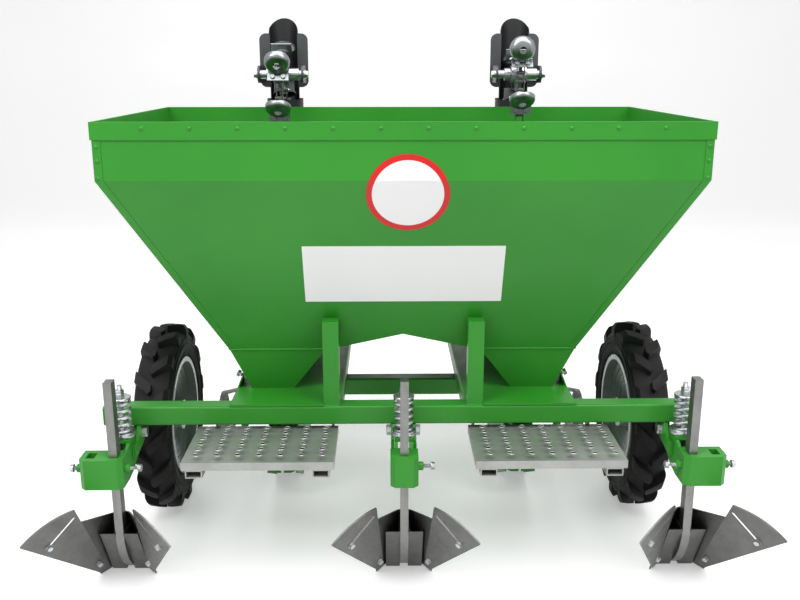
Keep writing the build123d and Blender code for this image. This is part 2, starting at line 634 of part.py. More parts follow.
def hiller_arm(grip):
    """Two arm plates from the pivot to the clamp, with the seat of the spring across their top."""
    seat, front, low = SPRING_Z0 - ROD_R, SHANK_Y + CLAMP_D / 2, CLAMP_Z - CLAMP_H / 2
    end, bar_z = REAR_Y + ARM_END, PIVOT_Z - STOP_DROP
    outline = [(end, PIVOT_Z - ARM_HALF), (end, PIVOT_Z + ARM_HALF), (SPRING_Y + SPRING_SEAT, seat - ARM_T),
               (SPRING_Y - SPRING_SEAT, seat - ARM_T), (front, low + CLAMP_H), (front, low),
               (SPRING_Y, low + ARM_T)]
    arm = grip
    for sign in (-1, 1):
        x0, x1 = sorted((sign * ARM_GAP / 2, sign * (ARM_GAP / 2 + ARM_T)))
        plate = slab_yz(outline, x0, x1) - rod_x(PIVOT_R + SEAT, x0, x1, REAR_Y, PIVOT_Z)
        arm += plate - rod_x(ROD_R + ROD_CLEAR, x0, x1, SPRING_Y, bar_z)
    wide = ARM_GAP / 2 + ARM_T
    top = block(-wide, wide, SPRING_Y - SPRING_SEAT, SPRING_Y + SPRING_SEAT, seat - ARM_T, seat)
    return arm + (top - rod_z(ROD_R + ROD_PLAY, 0, SPRING_Y, seat - ARM_T, seat))


def hiller_spring():
    """The coil spring between its cup and washer on the threaded rod."""
    pitch = (SPRING_Z1 - SPRING_Z0) / SPRING_COILS
    outside = []
    for coil in range(SPRING_COILS):
        z = SPRING_Z0 + coil * pitch
        outside += [(SPRING_R - SPRING_WIRE / 2, z), (SPRING_R, z + pitch / 2)]
    outside.append((SPRING_R - SPRING_WIRE / 2, SPRING_Z1))
    inside = [(SPRING_R - SPRING_WIRE, SPRING_Z1), (SPRING_R - SPRING_WIRE, SPRING_Z0)]
    coils = Pos(0, SPRING_Y, 0) * revolve(Plane.XZ * Polygon(*(outside + inside), align=None), Axis.Z)
    rod = rod_z(ROD_R, 0, SPRING_Y, PIVOT_Z - STOP_DROP + ROD_R + SEAT, ROD_TOP)
    cup_washer = rod_z(CUP_WASHER_R, 0, SPRING_Y, SPRING_Z0 - ROD_R, SPRING_Z0)
    washer = rod_z(SPRING_R + WASHER_LAP, 0, SPRING_Y, SPRING_Z1, SPRING_Z1 + WASHER_T)
    nut = Pos(0, SPRING_Y, SPRING_Z1 + WASHER_T) * extrude(RegularPolygon(2 * ROD_R, 6), 2 * ROD_R)
    return coils + rod + cup_washer + washer + nut


def hiller_shank():
    """A square bar that bends forward to its point."""
    turn, near, far = SHANK_TURN, SHANK_BEND_R - SHANK_D / 2, SHANK_BEND_R + SHANK_D / 2
    bend_z = OPENER_LOW + far * sin(radians(turn))
    centre = (SHANK_Y + SHANK_BEND_R, bend_z)
    rear = Line((centre[0] - far, SHANK_TOP), (centre[0] - far, bend_z))
    outer = CenterArc(centre, far, 180, turn)
    inner = CenterArc(centre, near, 180, turn)
    front = Line((centre[0] - near, SHANK_TOP), (centre[0] - near, bend_z))
    outline = make_face([rear, outer, Line(outer @ 1, inner @ 1), inner, front, Line(front @ 0, rear @ 0)])
    return extrude(Plane.YZ.offset(-SHANK_W / 2) * outline, SHANK_W)


def leaning(plan, top):
    """A plan outline carried up from the ground to a height, leaning back."""
    lean = radians(LEAN)
    ground = Plane.XY.offset(OPENER_LOW) * plan
    return extrude(ground, (top - OPENER_LOW) / cos(lean), dir=(0, -sin(lean), cos(lean)))


def share_plan():
    """The share from above: a V of sheet with a round nose, its legs running back to the knees."""
    nose, knee = SHANK_Y + NOSE_OUT, SHANK_Y + KNEE_OUT
    leg = hypot(KNEE_X, nose - knee)
    out_x, out_y = (nose - knee) / leg, KNEE_X / leg
    centre = nose - NOSE_R / out_y
    edges, ends = [], []
    for inset in (0, WING_T):
        r = NOSE_R - inset
        end, touch = (KNEE_X - inset * out_x, knee - inset * out_y), (r * out_x, centre + r * out_y)
        edges += [Line(end, touch), ThreePointArc(touch, (0, centre + r), (-touch[0], touch[1])),
                  Line((-touch[0], touch[1]), (-end[0], end[1]))]
        ends.append(end)
    (ax, ay), (bx, by) = ends
    return make_face(edges + [Line((ax, ay), (bx, by)), Line((-ax, ay), (-bx, by))])


def share_bracket_plan():
    """One half of the folded bracket that holds the share to the side of the shank, from above."""
    near, back = SHANK_W / 2 + SEAT, SHANK_Y + RIB_BACK
    nose, knee = SHANK_Y + NOSE_OUT, SHANK_Y + KNEE_OUT
    leg_y = nose - (nose - knee) * RIB_X / KNEE_X
    nose_y = nose - NOSE_R - WING_T / 2
    walls = ((near, near + WING_T, back, nose_y), (near, RIB_X, back, back + WING_T),
             (RIB_X - WING_T, RIB_X, back, leg_y - WING_T / 2))
    plan = Sketch()
    for x0, x1, y0, y1 in walls:
        plan += Pos((x0 + x1) / 2, (y0 + y1) / 2) * Rectangle(x1 - x0, y1 - y0)
    return plan


def hiller_share():
    """The round-nosed share in front of the shank, leaning back, with its bracket."""
    slope = sin(radians(LEAN)) / cos(radians(LEAN))
    nose_top = SHANK_Y + NOSE_OUT - NOSE_R - slope * SHARE_TOP
    side_top = SHANK_Y + KNEE_OUT - slope * SHARE_SIDE
    above = slab_yz([(SHANK_Y + NOSE_OUT, SHARE_TOP), (nose_top, SHARE_TOP), (side_top, SHARE_SIDE),
                     (2 * SHANK_Y, SHARE_SIDE), (2 * SHANK_Y, SHANK_TOP), (SHANK_Y + NOSE_OUT, SHANK_TOP)],
                    -2 * KNEE_X, 2 * KNEE_X)
    share = leaning(share_plan(), SHARE_SIDE + SHARE_TOP) - above
    bracket = leaning(share_bracket_plan(), RIB_TOP)
    return share + bracket + mirror(bracket, about=Plane.YZ)


def hiller_wings():
    """Two fan-shaped blades lapped inside the ends of the share, each with the slot of its stay bolt."""
    knee = Vector(KNEE_X, SHANK_Y + KNEE_OUT, OPENER_LOW)
    up = Vector(0, -sin(radians(LEAN)), cos(radians(LEAN)))
    reach = Vector(TIP_X, SHANK_Y - TIP_BACK, TIP_Z) - knee
    across = (reach - up * reach.dot(up)).normalized()
    outwards = up.cross(across)
    tip = (reach.dot(up), reach.dot(across))
    foot, corner = (WING_FOOT, 0), (WING_HIGH, 0)
    bulge = ((WING_HIGH + tip[0]) / 2 + FAN_BULGE, tip[1] / 2)
    fan = make_face([Line((WING_FOOT, -WING_LAP), foot), Line(foot, tip), ThreePointArc(tip, bulge, corner),
                     Line(corner, (WING_FOOT, -WING_LAP))])
    slot_0, slot_1 = (WING_HIGH - SLOT_IN, SLOT_W), (SLOT_ALONG * tip[0], SLOT_ACROSS * tip[1])
    along, over = slot_1[0] - slot_0[0], slot_1[1] - slot_0[1]
    run, turn = hypot(along, over), atan2(over, along)
    middle = Pos((slot_0[0] + slot_1[0]) / 2, (slot_0[1] + slot_1[1]) / 2)
    fan -= middle * Rot(0, 0, degrees(turn)) * SlotCenterToCenter(run, SLOT_W)
    plane = Plane(origin=knee - outwards * (WING_T + SEAT), x_dir=up, z_dir=outwards)
    wing = extrude(plane * fan, WING_T, dir=-outwards)
    return [wing, mirror(wing, about=Plane.YZ)]


def hiller_pieces():
    outer = clamp(CLAMP_IN, CLAMP_OUT, (0, SPARE_X))
    stations = (("left", -1, outer), ("centre", 0, clamp(CLAMP_HALF, CLAMP_HALF, (0,))), ("right", 1, outer))
    for name, place, grip in stations:
        at = Pos(place * HILLER_X, 0, 0)
        keep(f"hiller_arm_{name}", at * on_side(hiller_arm(grip), place or 1))
        keep(f"hiller_spring_{name}", at * hiller_spring())
        keep(f"hiller_shank_{name}", at * hiller_shank())
        keep(f"hiller_share_{name}", at * hiller_share())
        keep(f"hiller_wings_{name}", at * Compound(children=hiller_wings()))


# Wheels

def tyre():
    """A tractor-pattern tyre: a round carcass with slanted lugs in two staggered rows."""
    half, base = TYRE_W / 2, TYRE_R - LUG_H
    bead, shoulder = RIM_W / 2 - BEAD_IN, half - SHOULDER_IN
    wide_r, shoulder_r = (BEAD_R + base) / 2 - WIDEST_DROP, base - SHOULDER_DROP
    edges = [Line((-bead, BEAD_R), (bead, BEAD_R)),
             ThreePointArc((bead, BEAD_R), (half, wide_r), (shoulder, shoulder_r)),
             ThreePointArc((shoulder, shoulder_r), (0, base), (-shoulder, shoulder_r)),
             ThreePointArc((-shoulder, shoulder_r), (-half, wide_r), (-bead, BEAD_R))]
    carcass = revolve(make_face(edges), Axis.X)
    root, side, crown = base - LUG_ROOT, base - LUG_SIDE, TYRE_R - LUG_CROWN
    top, round_x, round_r = half - LUG_EDGE, half - LUG_EDGE / 3, TYRE_R - LUG_ROUND
    edge = [Line((-half, root), (half, root)), Line((half, root), (half, side)),
            ThreePointArc((half, side), (round_x, round_r), (top, crown)),
            ThreePointArc((top, crown), (0, TYRE_R), (-top, crown)),
            ThreePointArc((-top, crown), (-round_x, round_r), (-half, side)),
            Line((-half, side), (-half, root))]
    tread = revolve(make_face(edge), Axis.X)
    long = (half + LUG_LAP) / cos(radians(LUG_ANGLE)) + LUG_W
    bar = Rot(0, 0, LUG_ANGLE) * Box(long, LUG_W, 3 * LUG_H)
    bar = Pos(half / 2 + LUG_SHIFT, 0, TYRE_R - LUG_H) * bar
    bar &= block(-LUG_LAP, half, -TYRE_R, TYRE_R, 0, 2 * TYRE_R)
    lug = tread & bar
    other = mirror(lug, about=Plane.YZ)
    pitch = 360 / LUG_COUNT
    lugs = [Rot(pitch * k, 0, 0) * lug for k in range(LUG_COUNT)]
    lugs += [Rot(pitch * (k + 0.5), 0, 0) * other for k in range(LUG_COUNT)]
    return carcass + lugs


def rim():
    """A pressed rim: barrel with lips, dished disc and hub in one weldment."""
    half, inner, lip, end = RIM_W / 2, BEAD_R - RIM_WALL, BEAD_R + RIM_LIP, RIM_W / 2 + RIM_WALL
    profiles = (
        [(-half, BEAD_R), (half, BEAD_R), (half, inner), (-half, inner)],
        [(half, lip), (end, lip), (end, inner), (half, inner)],
        [(-half, lip), (-end, lip), (-end, inner), (-half, inner)],
        [(DISC_DISH, inner), (0, HUB_R), (DISC_T, HUB_R), (DISC_DISH + DISC_T, inner)],
        [(-HUB_W / 2, STUB_R + FIT), (HUB_W / 2, STUB_R + FIT), (HUB_W / 2, HUB_R), (-HUB_W / 2, HUB_R)])
    shape = revolve(Polygon(*profiles[0], align=None), Axis.X)
    for profile in profiles[1:]:
        shape += revolve(Polygon(*profile, align=None), Axis.X)
    return shape


def stub_axle():
    """The fixed axle of one wheel, with the collar and end washer that hold the hub."""
    near, far = WHEEL_X - HUB_W / 2 - SEAT, WHEEL_X + HUB_W / 2 + SEAT
    axle = rod_x(STUB_R, FRONT_HALF, far + STUB_END, 0, TYRE_R)
    collar = rod_x(COLLAR_R, near - COLLAR_T, near, 0, TYRE_R)
    return axle + collar + rod_x(COLLAR_R, far, far + COLLAR_T, 0, TYRE_R)


def wheel_pieces():
    at = Pos(WHEEL_X, 0, TYRE_R)
    pieces = {"tyre": at * tyre(), "rim": at * rim(), "stub_axle": stub_axle()}
    for name, shape in pieces.items():
        for side, sign in SIDES:
            keep(f"{name}_{side}", on_side(shape, sign))


frame_pieces()
hopper_pieces()
elevator_pieces()
for side, sign in SIDES:
    keep(f"platform_{side}", on_side(platform(), sign))
hitch_pieces()
hiller_pieces()
wheel_pieces()

boxes = [shape.bounding_box() for shape in kept.values()]
middle_y = (min(box.min.Y for box in boxes) + max(box.max.Y for box in boxes)) / 2
print("axle behind the middle by", round(middle_y, 3))

os.makedirs("parts", exist_ok=True)
for node, shape in kept.items():
    export_step(Pos(0, -middle_y, 0) * shape, f"parts/{node}.step")
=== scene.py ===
# %% [markdown]
# # A two-row potato planter
#
# The machine stands on the floor as it parks, seen from behind. Its solids come from the packed
# frame, in metres, with +Y towards the tractor. This lesson gives every solid a worked finish and
# adds what a step closer would show: wound springs, pressed cups on a roller chain, bolts, weld
# beads, the punched tread of the platforms, the sign and the plate.

# %% Load the frame
import json
import math

import bmesh
import bpy
import numpy as np
from mathutils import Matrix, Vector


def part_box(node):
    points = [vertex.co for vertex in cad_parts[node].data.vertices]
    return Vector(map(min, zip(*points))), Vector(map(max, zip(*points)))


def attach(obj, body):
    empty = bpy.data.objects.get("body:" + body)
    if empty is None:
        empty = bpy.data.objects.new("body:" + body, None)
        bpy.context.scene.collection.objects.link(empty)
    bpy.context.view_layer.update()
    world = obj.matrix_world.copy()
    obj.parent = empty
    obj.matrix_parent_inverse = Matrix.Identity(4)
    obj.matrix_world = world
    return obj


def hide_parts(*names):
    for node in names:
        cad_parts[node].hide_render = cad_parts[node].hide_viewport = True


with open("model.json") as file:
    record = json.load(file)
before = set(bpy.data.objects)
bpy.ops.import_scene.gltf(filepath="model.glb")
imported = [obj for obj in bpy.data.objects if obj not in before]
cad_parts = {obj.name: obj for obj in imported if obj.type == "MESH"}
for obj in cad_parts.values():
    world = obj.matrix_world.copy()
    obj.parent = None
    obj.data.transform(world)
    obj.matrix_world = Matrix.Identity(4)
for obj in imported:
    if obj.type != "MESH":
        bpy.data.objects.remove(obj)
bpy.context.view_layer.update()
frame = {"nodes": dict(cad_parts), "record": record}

# %% [markdown]
# ## Surfaces from arrays
#
# Every new shape here is either a grid of points, worked out in one go from two parameters, or a
# profile carried round an axis or along a path. The helpers below number the quads of such a grid,
# join several grids into one mesh and put the result on a body of the frame. Modelling by hand
# would work too, but a formula keeps each size next to the thing it describes.

# %% Grids, joins and copies


def grid_quads(rows, cols, close_rows=False, close_cols=False):
    """Quads of a rows x cols grid of points numbered row by row; a closed way wraps to its start."""
    r = np.arange(rows if close_rows else rows - 1)[:, None]
    c = np.arange(cols if close_cols else cols - 1)[None, :]
    r2, c2 = (r + 1) % rows, (c + 1) % cols
    corners = np.broadcast_arrays(r * cols + c, r * cols + c2, r2 * cols + c2, r2 * cols + c)
    return np.stack(corners, axis=-1).reshape(-1, 4)


def join(shapes):
    """One (points, quads) pair from many: each shape's quads count on from the points before it."""
    starts = np.cumsum([0] + [len(points) for points, _ in shapes[:-1]])
    points = np.concatenate([points for points, _ in shapes])
    quads = np.concatenate([quads + start for (_, quads), start in zip(shapes, starts)])
    return points, quads


def copies(shape, places):
    """The same shape at every 4 x 4 placing matrix: each point is turned, then moved."""
    points, quads = shape
    places = np.asarray(places, dtype=float)
    moved = np.einsum("kij,nj->kni", places[:, :3, :3], points) + places[:, None, :3, 3]
    shift = np.arange(len(places))[:, None, None] * len(points)
    return moved.reshape(-1, 3), (quads[None] + shift).reshape(-1, 4)


def placing(origin, z_axis=(0, 0, 1), x_axis=None):
    """A placing matrix whose local Z runs along z_axis and whose local X is as near x_axis as it can be."""
    z = np.asarray(z_axis, dtype=float) / np.linalg.norm(z_axis)
    if x_axis is None:
        x_axis = (1, 0, 0) if abs(z[0]) < 0.9 else (0, 1, 0)
    x = np.asarray(x_axis, dtype=float) - z * np.dot(x_axis, z)
    x /= np.linalg.norm(x)
    matrix = np.eye(4)
    matrix[:3, :3] = np.stack([x, np.cross(z, x), z], axis=1)
    matrix[:3, 3] = origin
    return matrix


def mesh_piece(name, shape, material, body, smooth_angle=35.0):
    """Make the joined arrays an object: merge doubles, point faces outwards, ride on a body."""
    points, quads = shape
    mesh = bpy.data.meshes.new(name)
    mesh.from_pydata(points.tolist(), [], quads.tolist())
    tidy_mesh(mesh, smooth_angle)
    mesh.materials.append(material)
    piece = bpy.data.objects.new(name, mesh)
    bpy.context.scene.collection.objects.link(piece)
    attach(piece, body)
    return piece


def tidy_mesh(mesh, smooth_angle):
    """Merge coincident points, drop empty faces, turn normals outwards and keep sharp corners sharp."""
    work = bmesh.new()
    work.from_mesh(mesh)
    bmesh.ops.remove_doubles(work, verts=work.verts, dist=1e-6)
    bmesh.ops.dissolve_degenerate(work, edges=work.edges, dist=1e-7)
    bmesh.ops.recalc_face_normals(work, faces=work.faces)
    for face in work.faces:
        face.smooth = True
    limit = math.radians(smooth_angle)
    for edge in work.edges:
        edge.smooth = edge.is_manifold and edge.calc_face_angle(0.0) < limit
    work.to_mesh(mesh)
    work.free()


# %% Turned and swept shapes


def lathe(profile, steps=32):
    """Surface of revolution about local Z: each (radius, height) of the profile becomes a ring."""
    profile = np.asarray(profile, dtype=float)
    turn = np.linspace(0, 2 * math.pi, steps, endpoint=False)
    radius, height = profile[:, 0, None], profile[:, 1, None]
    points = np.stack([radius * np.cos(turn), radius * np.sin(turn), height + 0 * turn], axis=-1)
    return points.reshape(-1, 3), grid_quads(len(profile), steps, close_cols=True)


def hex_head(across, height, chamfer=0.12):
    """A hexagon nut or bolt head: a lathe of six sides whose top edge is turned back a little."""
    r = across / math.sqrt(3)
    return lathe([(0, 0), (r, 0), (r, height * (1 - chamfer)), (r * (1 - chamfer), height), (0, height)], 6)


def tube_along(path, radius, sides=10):
    """A round bar along a path: at each point a ring in the plane across the path's direction."""
    path = np.asarray(path, dtype=float)
    ahead = np.gradient(path, axis=0)
    ahead /= np.linalg.norm(ahead, axis=1, keepdims=True)
    up = np.where(np.abs(ahead[:, 2:3]) > 0.95, [[0.0, 1.0, 0.0]], [[0.0, 0.0, 1.0]])
    side = np.cross(ahead, up)
    side /= np.linalg.norm(side, axis=1, keepdims=True)
    over = np.cross(side, ahead)
    turn = np.linspace(0, 2 * math.pi, sides, endpoint=False)[None, :, None]
    rings = path[:, None] + radius * (np.cos(turn) * side[:, None] + np.sin(turn) * over[:, None])
    ends = np.repeat(path[[0, -1]][:, None], sides, axis=1)
    rings = np.concatenate([ends[:1], rings, ends[1:]])
    return rings.reshape(-1, 3), grid_quads(len(rings), sides, close_cols=True)


def bevelled_slab(outline, thickness, bevel):
    """A flat plate with softened edges: rings of the outline, drawn in at the rims, closed at the middle."""
    outline = np.asarray(outline, dtype=float)
    middle = outline.mean(axis=0)
    ahead = np.roll(outline, -1, axis=0) - np.roll(outline, 1, axis=0)
    ahead /= np.linalg.norm(ahead, axis=1, keepdims=True)
    inward = np.stack([-ahead[:, 1], ahead[:, 0]], axis=1)
    levels = ((None, 0.0), (bevel, 0.0), (0.0, bevel),
              (0.0, thickness - bevel), (bevel, thickness), (None, thickness))
    rings = []
    for draw_in, height in levels:
        closed = np.repeat(middle[None], len(outline), axis=0)
        flat = closed if draw_in is None else outline + draw_in * inward
        rings.append(np.column_stack([flat, np.full(len(outline), height)]))
    points = np.concatenate(rings)
    return points, grid_quads(len(levels), len(outline), close_cols=True)


print("helpers ready")

# %% [markdown]
# ## Finishes
#
# A finish is a Principled shader fed by noise in Object coordinates, so it stays put on the piece
# in every view. Paint gets slow changes of tone and an orange-peel ripple; steel gets streaks along
# its rolling direction; rubber gets a fine grain and a breath of dust. One colour for a whole piece
# would look like plastic, so each finish moves a little in tone, in roughness and in height.

# %% Shader helpers


def start_finish(name, **constants):
    """A new material with its shader's fixed sockets set, its node tree and its Object coordinates."""
    material = bpy.data.materials.new(name)
    material.use_nodes = True
    tree = material.node_tree
    shader = tree.nodes["Principled BSDF"]
    for socket, value in constants.items():
        shader.inputs[socket.replace("_", " ")].default_value = value
    coords = tree.nodes.new("ShaderNodeTexCoord").outputs["Object"]
    return material, tree, shader, coords


def noise(tree, coords, scale, stretch=(1, 1, 1), detail=4.0, rough=0.5):
    """Noise of so many grains a metre, drawn out where stretch is small."""
    mapping = tree.nodes.new("ShaderNodeMapping")
    mapping.inputs["Scale"].default_value = stretch
    texture = tree.nodes.new("ShaderNodeTexNoise")
    texture.inputs["Scale"].default_value = scale
    texture.inputs["Detail"].default_value = detail
    texture.inputs["Roughness"].default_value = rough
    tree.links.new(coords, mapping.inputs["Vector"])
    tree.links.new(mapping.outputs["Vector"], texture.inputs["Vector"])
    return texture.outputs["Fac"]


def ramp(tree, value, stops):
    """Colours by height of the value: stops are (place, colour)."""
    node = tree.nodes.new("ShaderNodeValToRGB")
    elements = node.color_ramp.elements
    while len(elements) < len(stops):
        elements.new(0.5)
    for element, (place, colour) in zip(elements, stops):
        element.position = place
        element.color = (*colour, 1.0)
    tree.links.new(value, node.inputs["Fac"])
    return node.outputs["Color"]


def spread(tree, value, low, high):
    """Map noise, which lies mostly between 0.3 and 0.7, to a range of a socket."""
    node = tree.nodes.new("ShaderNodeMapRange")
    for socket, number in (("From Min", 0.3), ("From Max", 0.7), ("To Min", low), ("To Max", high)):
        node.inputs[socket].default_value = number
    tree.links.new(value, node.inputs["Value"])
    return node.outputs["Result"]


def ripple(tree, shader, heights):
    """Chain bumps of (value, strength, distance in metres) into the shader's normal."""
    normal = None
    for value, strength, distance in heights:
        bump = tree.nodes.new("ShaderNodeBump")
        bump.inputs["Strength"].default_value = strength
        bump.inputs["Distance"].default_value = distance
        tree.links.new(value, bump.inputs["Height"])
        if normal is not None:
            tree.links.new(normal, bump.inputs["Normal"])
        normal = bump.outputs["Normal"]
    tree.links.new(normal, shader.inputs["Normal"])


# %% Paints


def paint(name, deep, bright, roughness=(0.30, 0.42), coat=0.25):
    """Sprayed enamel: slow drift between two tones and the fine ripple of a sprayed coat."""
    constants = {"Coat_Weight": coat, "Coat_Roughness": 0.18, "Specular_IOR_Level": 0.3}
    material, tree, shader, coords = start_finish(name, **constants)
    drift = noise(tree, coords, 2.2, detail=3.0)
    tree.links.new(ramp(tree, drift, ((0.35, deep), (0.65, bright))), shader.inputs["Base Color"])
    haze = noise(tree, coords, 14.0, detail=5.0)
    tree.links.new(spread(tree, haze, *roughness), shader.inputs["Roughness"])
    peel = noise(tree, coords, 420.0, detail=2.0)
    buckle = noise(tree, coords, 6.0, detail=1.0)
    ripple(tree, shader, ((buckle, 0.10, 0.004), (peel, 0.08, 0.0006)))
    return material


green_paint = paint("green_enamel", (0.024, 0.225, 0.017), (0.030, 0.262, 0.021), (0.36, 0.48), 0.08)
black_paint = paint("black_tube_enamel", (0.010, 0.010, 0.011), (0.016, 0.016, 0.017), (0.32, 0.5), 0.1)
cheek_paint = paint("cheek_plate_grey", (0.045, 0.048, 0.052), (0.07, 0.073, 0.078), (0.35, 0.5), 0.1)
rim_paint = paint("rim_grey", (0.25, 0.27, 0.275), (0.32, 0.345, 0.35), (0.22, 0.34), 0.4)
red_paint = paint("sign_red", (0.55, 0.012, 0.012), (0.62, 0.016, 0.016), (0.35, 0.45), 0.1)
white_vinyl = paint("plate_white", (0.80, 0.80, 0.80), (0.84, 0.84, 0.84), (0.35, 0.5), 0.05)

# %% Metals and rubber


def metal(name, dark, light, roughness, streak=(1, 1, 0.06), grain=160.0, pits=0.12, metallic=1.0):
    """Bare metal: streaks along one way, a cloudy tone and fine pitting."""
    material, tree, shader, coords = start_finish(name, Metallic=metallic)
    lines = noise(tree, coords, grain, streak, detail=3.0)
    cloud = noise(tree, coords, 18.0, detail=5.0, rough=0.6)
    tree.links.new(ramp(tree, cloud, ((0.3, dark), (0.7, light))), shader.inputs["Base Color"])
    tree.links.new(spread(tree, lines, *roughness), shader.inputs["Roughness"])
    pit = noise(tree, coords, 700.0, detail=2.0)
    ripple(tree, shader, ((lines, 0.10, 0.0006), (pit, pits, 0.0004)))
    return material


bare_steel = metal("bare_steel", (0.18, 0.18, 0.173), (0.245, 0.245, 0.238), (0.34, 0.50))
share_steel = metal("rolled_share_steel", (0.112, 0.112, 0.108), (0.158, 0.158, 0.153), (0.36, 0.52),
                    (1, 0.08, 1))
step_steel = metal("rolled_step_steel", (0.29, 0.295, 0.283), (0.37, 0.375, 0.363), (0.32, 0.46),
                   (0.05, 1, 1), metallic=0.6)
zinc = metal("zinc_plate", (0.40, 0.42, 0.44), (0.56, 0.57, 0.58), (0.26, 0.40), (1, 1, 1), 90.0, 0.06)
cup_zinc = metal("dull_cup_zinc", (0.20, 0.22, 0.225), (0.31, 0.33, 0.335), (0.26, 0.38), (1, 1, 1),
                 90.0, 0.06)
chain_steel = metal("oiled_chain", (0.10, 0.10, 0.10), (0.19, 0.185, 0.18), (0.34, 0.5), (1, 1, 1))


def rubber():
    """Tyre rubber: nearly black, finely grained, with a thin veil of dust where the noise is high."""
    material, tree, shader, coords = start_finish("tyre_rubber", Specular_IOR_Level=0.25)
    veil = noise(tree, coords, 26.0, detail=6.0, rough=0.65)
    tones = ((0.40, (0.006, 0.006, 0.006)), (0.62, (0.010, 0.010, 0.0095)), (0.8, (0.024, 0.022, 0.020)))
    tree.links.new(ramp(tree, veil, tones), shader.inputs["Base Color"])
    tree.links.new(spread(tree, veil, 0.55, 0.8), shader.inputs["Roughness"])
    grain = noise(tree, coords, 900.0, detail=2.0)
    ripple(tree, shader, ((veil, 0.15, 0.002), (grain, 0.2, 0.0005)))
    return material


tyre_rubber = rubber()

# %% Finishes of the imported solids
SLOT_FINISH = {"green_paint": green_paint, "bare_steel": bare_steel, "step_steel": step_steel, "zinc": zinc,
               "chain_steel": chain_steel, "black_enamel": black_paint, "cheek_grey": cheek_paint,
               "rim_grey": rim_paint, "tyre": tyre_rubber}
for subpart in frame["record"]["subparts"]:
    solid = frame["nodes"][subpart["node"]]
    ploughs = subpart["node"].startswith(("hiller_share", "hiller_wings"))
    solid.data.materials.clear()
    solid.data.materials.append(share_steel if ploughs else SLOT_FINISH[subpart["material_slot"]])

# %% [markdown]
# ## Springs of the hillers
#
# Each hiller is pressed down by a coil spring between a cup and a washer on a threaded rod. In the
# frame it is a plain sleeve, good enough to touch. A modifier could screw a circle round an axis, but
# a helix is one line of arithmetic, and the dead end turns lie flat only if the pitch changes along
# the wire, so the height is summed up from a pitch that falls off towards both ends.

# %% Wound springs
ROD_R = 0.006                     # threaded rod
COIL_UP, COIL_H = 0.0437, 0.093   # coil above the rod's lower end, and its length
WIRE_R, COIL_R, TURNS = 0.0040, 0.0215, 5.6


def coil(turns, radius, wire, height):
    """A helix of round wire: angle grows evenly, height sums a pitch that fades over the end turns."""
    t = np.linspace(0, turns, int(turns * 26))
    pitch = np.clip(np.minimum(t, turns - t) / 0.9, 0.22, 1.0)
    rise = np.cumsum(pitch) - pitch[0]
    z = wire + (height - 2 * wire) * rise / rise[-1]
    path = np.stack([radius * np.cos(2 * math.pi * t), radius * np.sin(2 * math.pi * t), z], axis=1)
    return tube_along(path, wire, 10)


def thread(radius, z0, z1, pitch=0.00175):
    """A threaded bar: a lathe whose radius swings between crest and root twice in each pitch."""
    z = np.arange(z0, z1, pitch / 2)
    r = radius - 0.0008 * (np.arange(len(z)) % 2)
    return lathe(np.column_stack([np.concatenate([[0], r, [0]]), np.concatenate([[z0], z, [z[-1]]])]), 16)


def moved(shape, offset):
    """The same shape shifted by an offset."""
    return shape[0] + np.asarray(offset, dtype=float), shape[1]


SPRING_CUP = [(ROD_R, 0), (0.028, 0), (0.030, 0.003), (0.030, 0.012), (0.029, 0.0138), (0.0272, 0.0138),
              (0.0265, 0.012), (0.0262, 0.006), (ROD_R, 0.006)]
SPRING_WASHER = [(ROD_R, 0), (0.0252, 0), (0.026, 0.001), (0.026, 0.004), (0.0252, 0.005), (ROD_R, 0.005)]
HILLERS = ("left", "centre", "right")
for name in HILLERS:
    low, high = (np.array(corner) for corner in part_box(f"hiller_spring_{name}"))
    foot = np.array([*(low + high)[:2] / 2, low[2]])
    top = COIL_UP + COIL_H
    parts = [moved(coil(TURNS, COIL_R, WIRE_R, COIL_H), foot + (0, 0, COIL_UP)),
             moved(thread(ROD_R, 0.0, high[2] - low[2]), foot),
             moved(lathe(SPRING_CUP, 40), foot + (0, 0, COIL_UP - 0.006)),
             moved(lathe(SPRING_WASHER, 40), foot + (0, 0, top)),
             moved(hex_head(0.019, 0.010), foot + (0, 0, top + 0.005)),
             moved(hex_head(0.019, 0.008), foot + (0, 0, top + 0.0155))]
    spring = mesh_piece(f"wound_spring_{name}", join(parts), zinc, "frame")
    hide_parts(f"hiller_spring_{name}")
print("wound", len(HILLERS), "springs of", TURNS, "turns")

# %% [markdown]
# ## Cup chains
#
# A potato elevator is a roller chain with a pressed cup every few links. The chain is one closed
# path: up at the back, round the upper sprocket, down inside the tube and round the lower one. The
# links and cups are placed by their distance along that path, so they all follow from the two
# sprocket centres. Instancing on a curve would do the same, but arrays keep the exact pitch in sight.

# %% Path of an elevator chain
CHAIN_R = 0.055                   # pitch radius of both sprockets
CUP_COUNT = 22
CUP_START = {"left": 0.065, "right": 0.088}
LINK_COUNT = 100


def sprocket_centre(node):
    """Y and Z of a chain wheel, from the middle of its box."""
    low, high = np.array(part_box(node))
    return (low + high)[1:] / 2


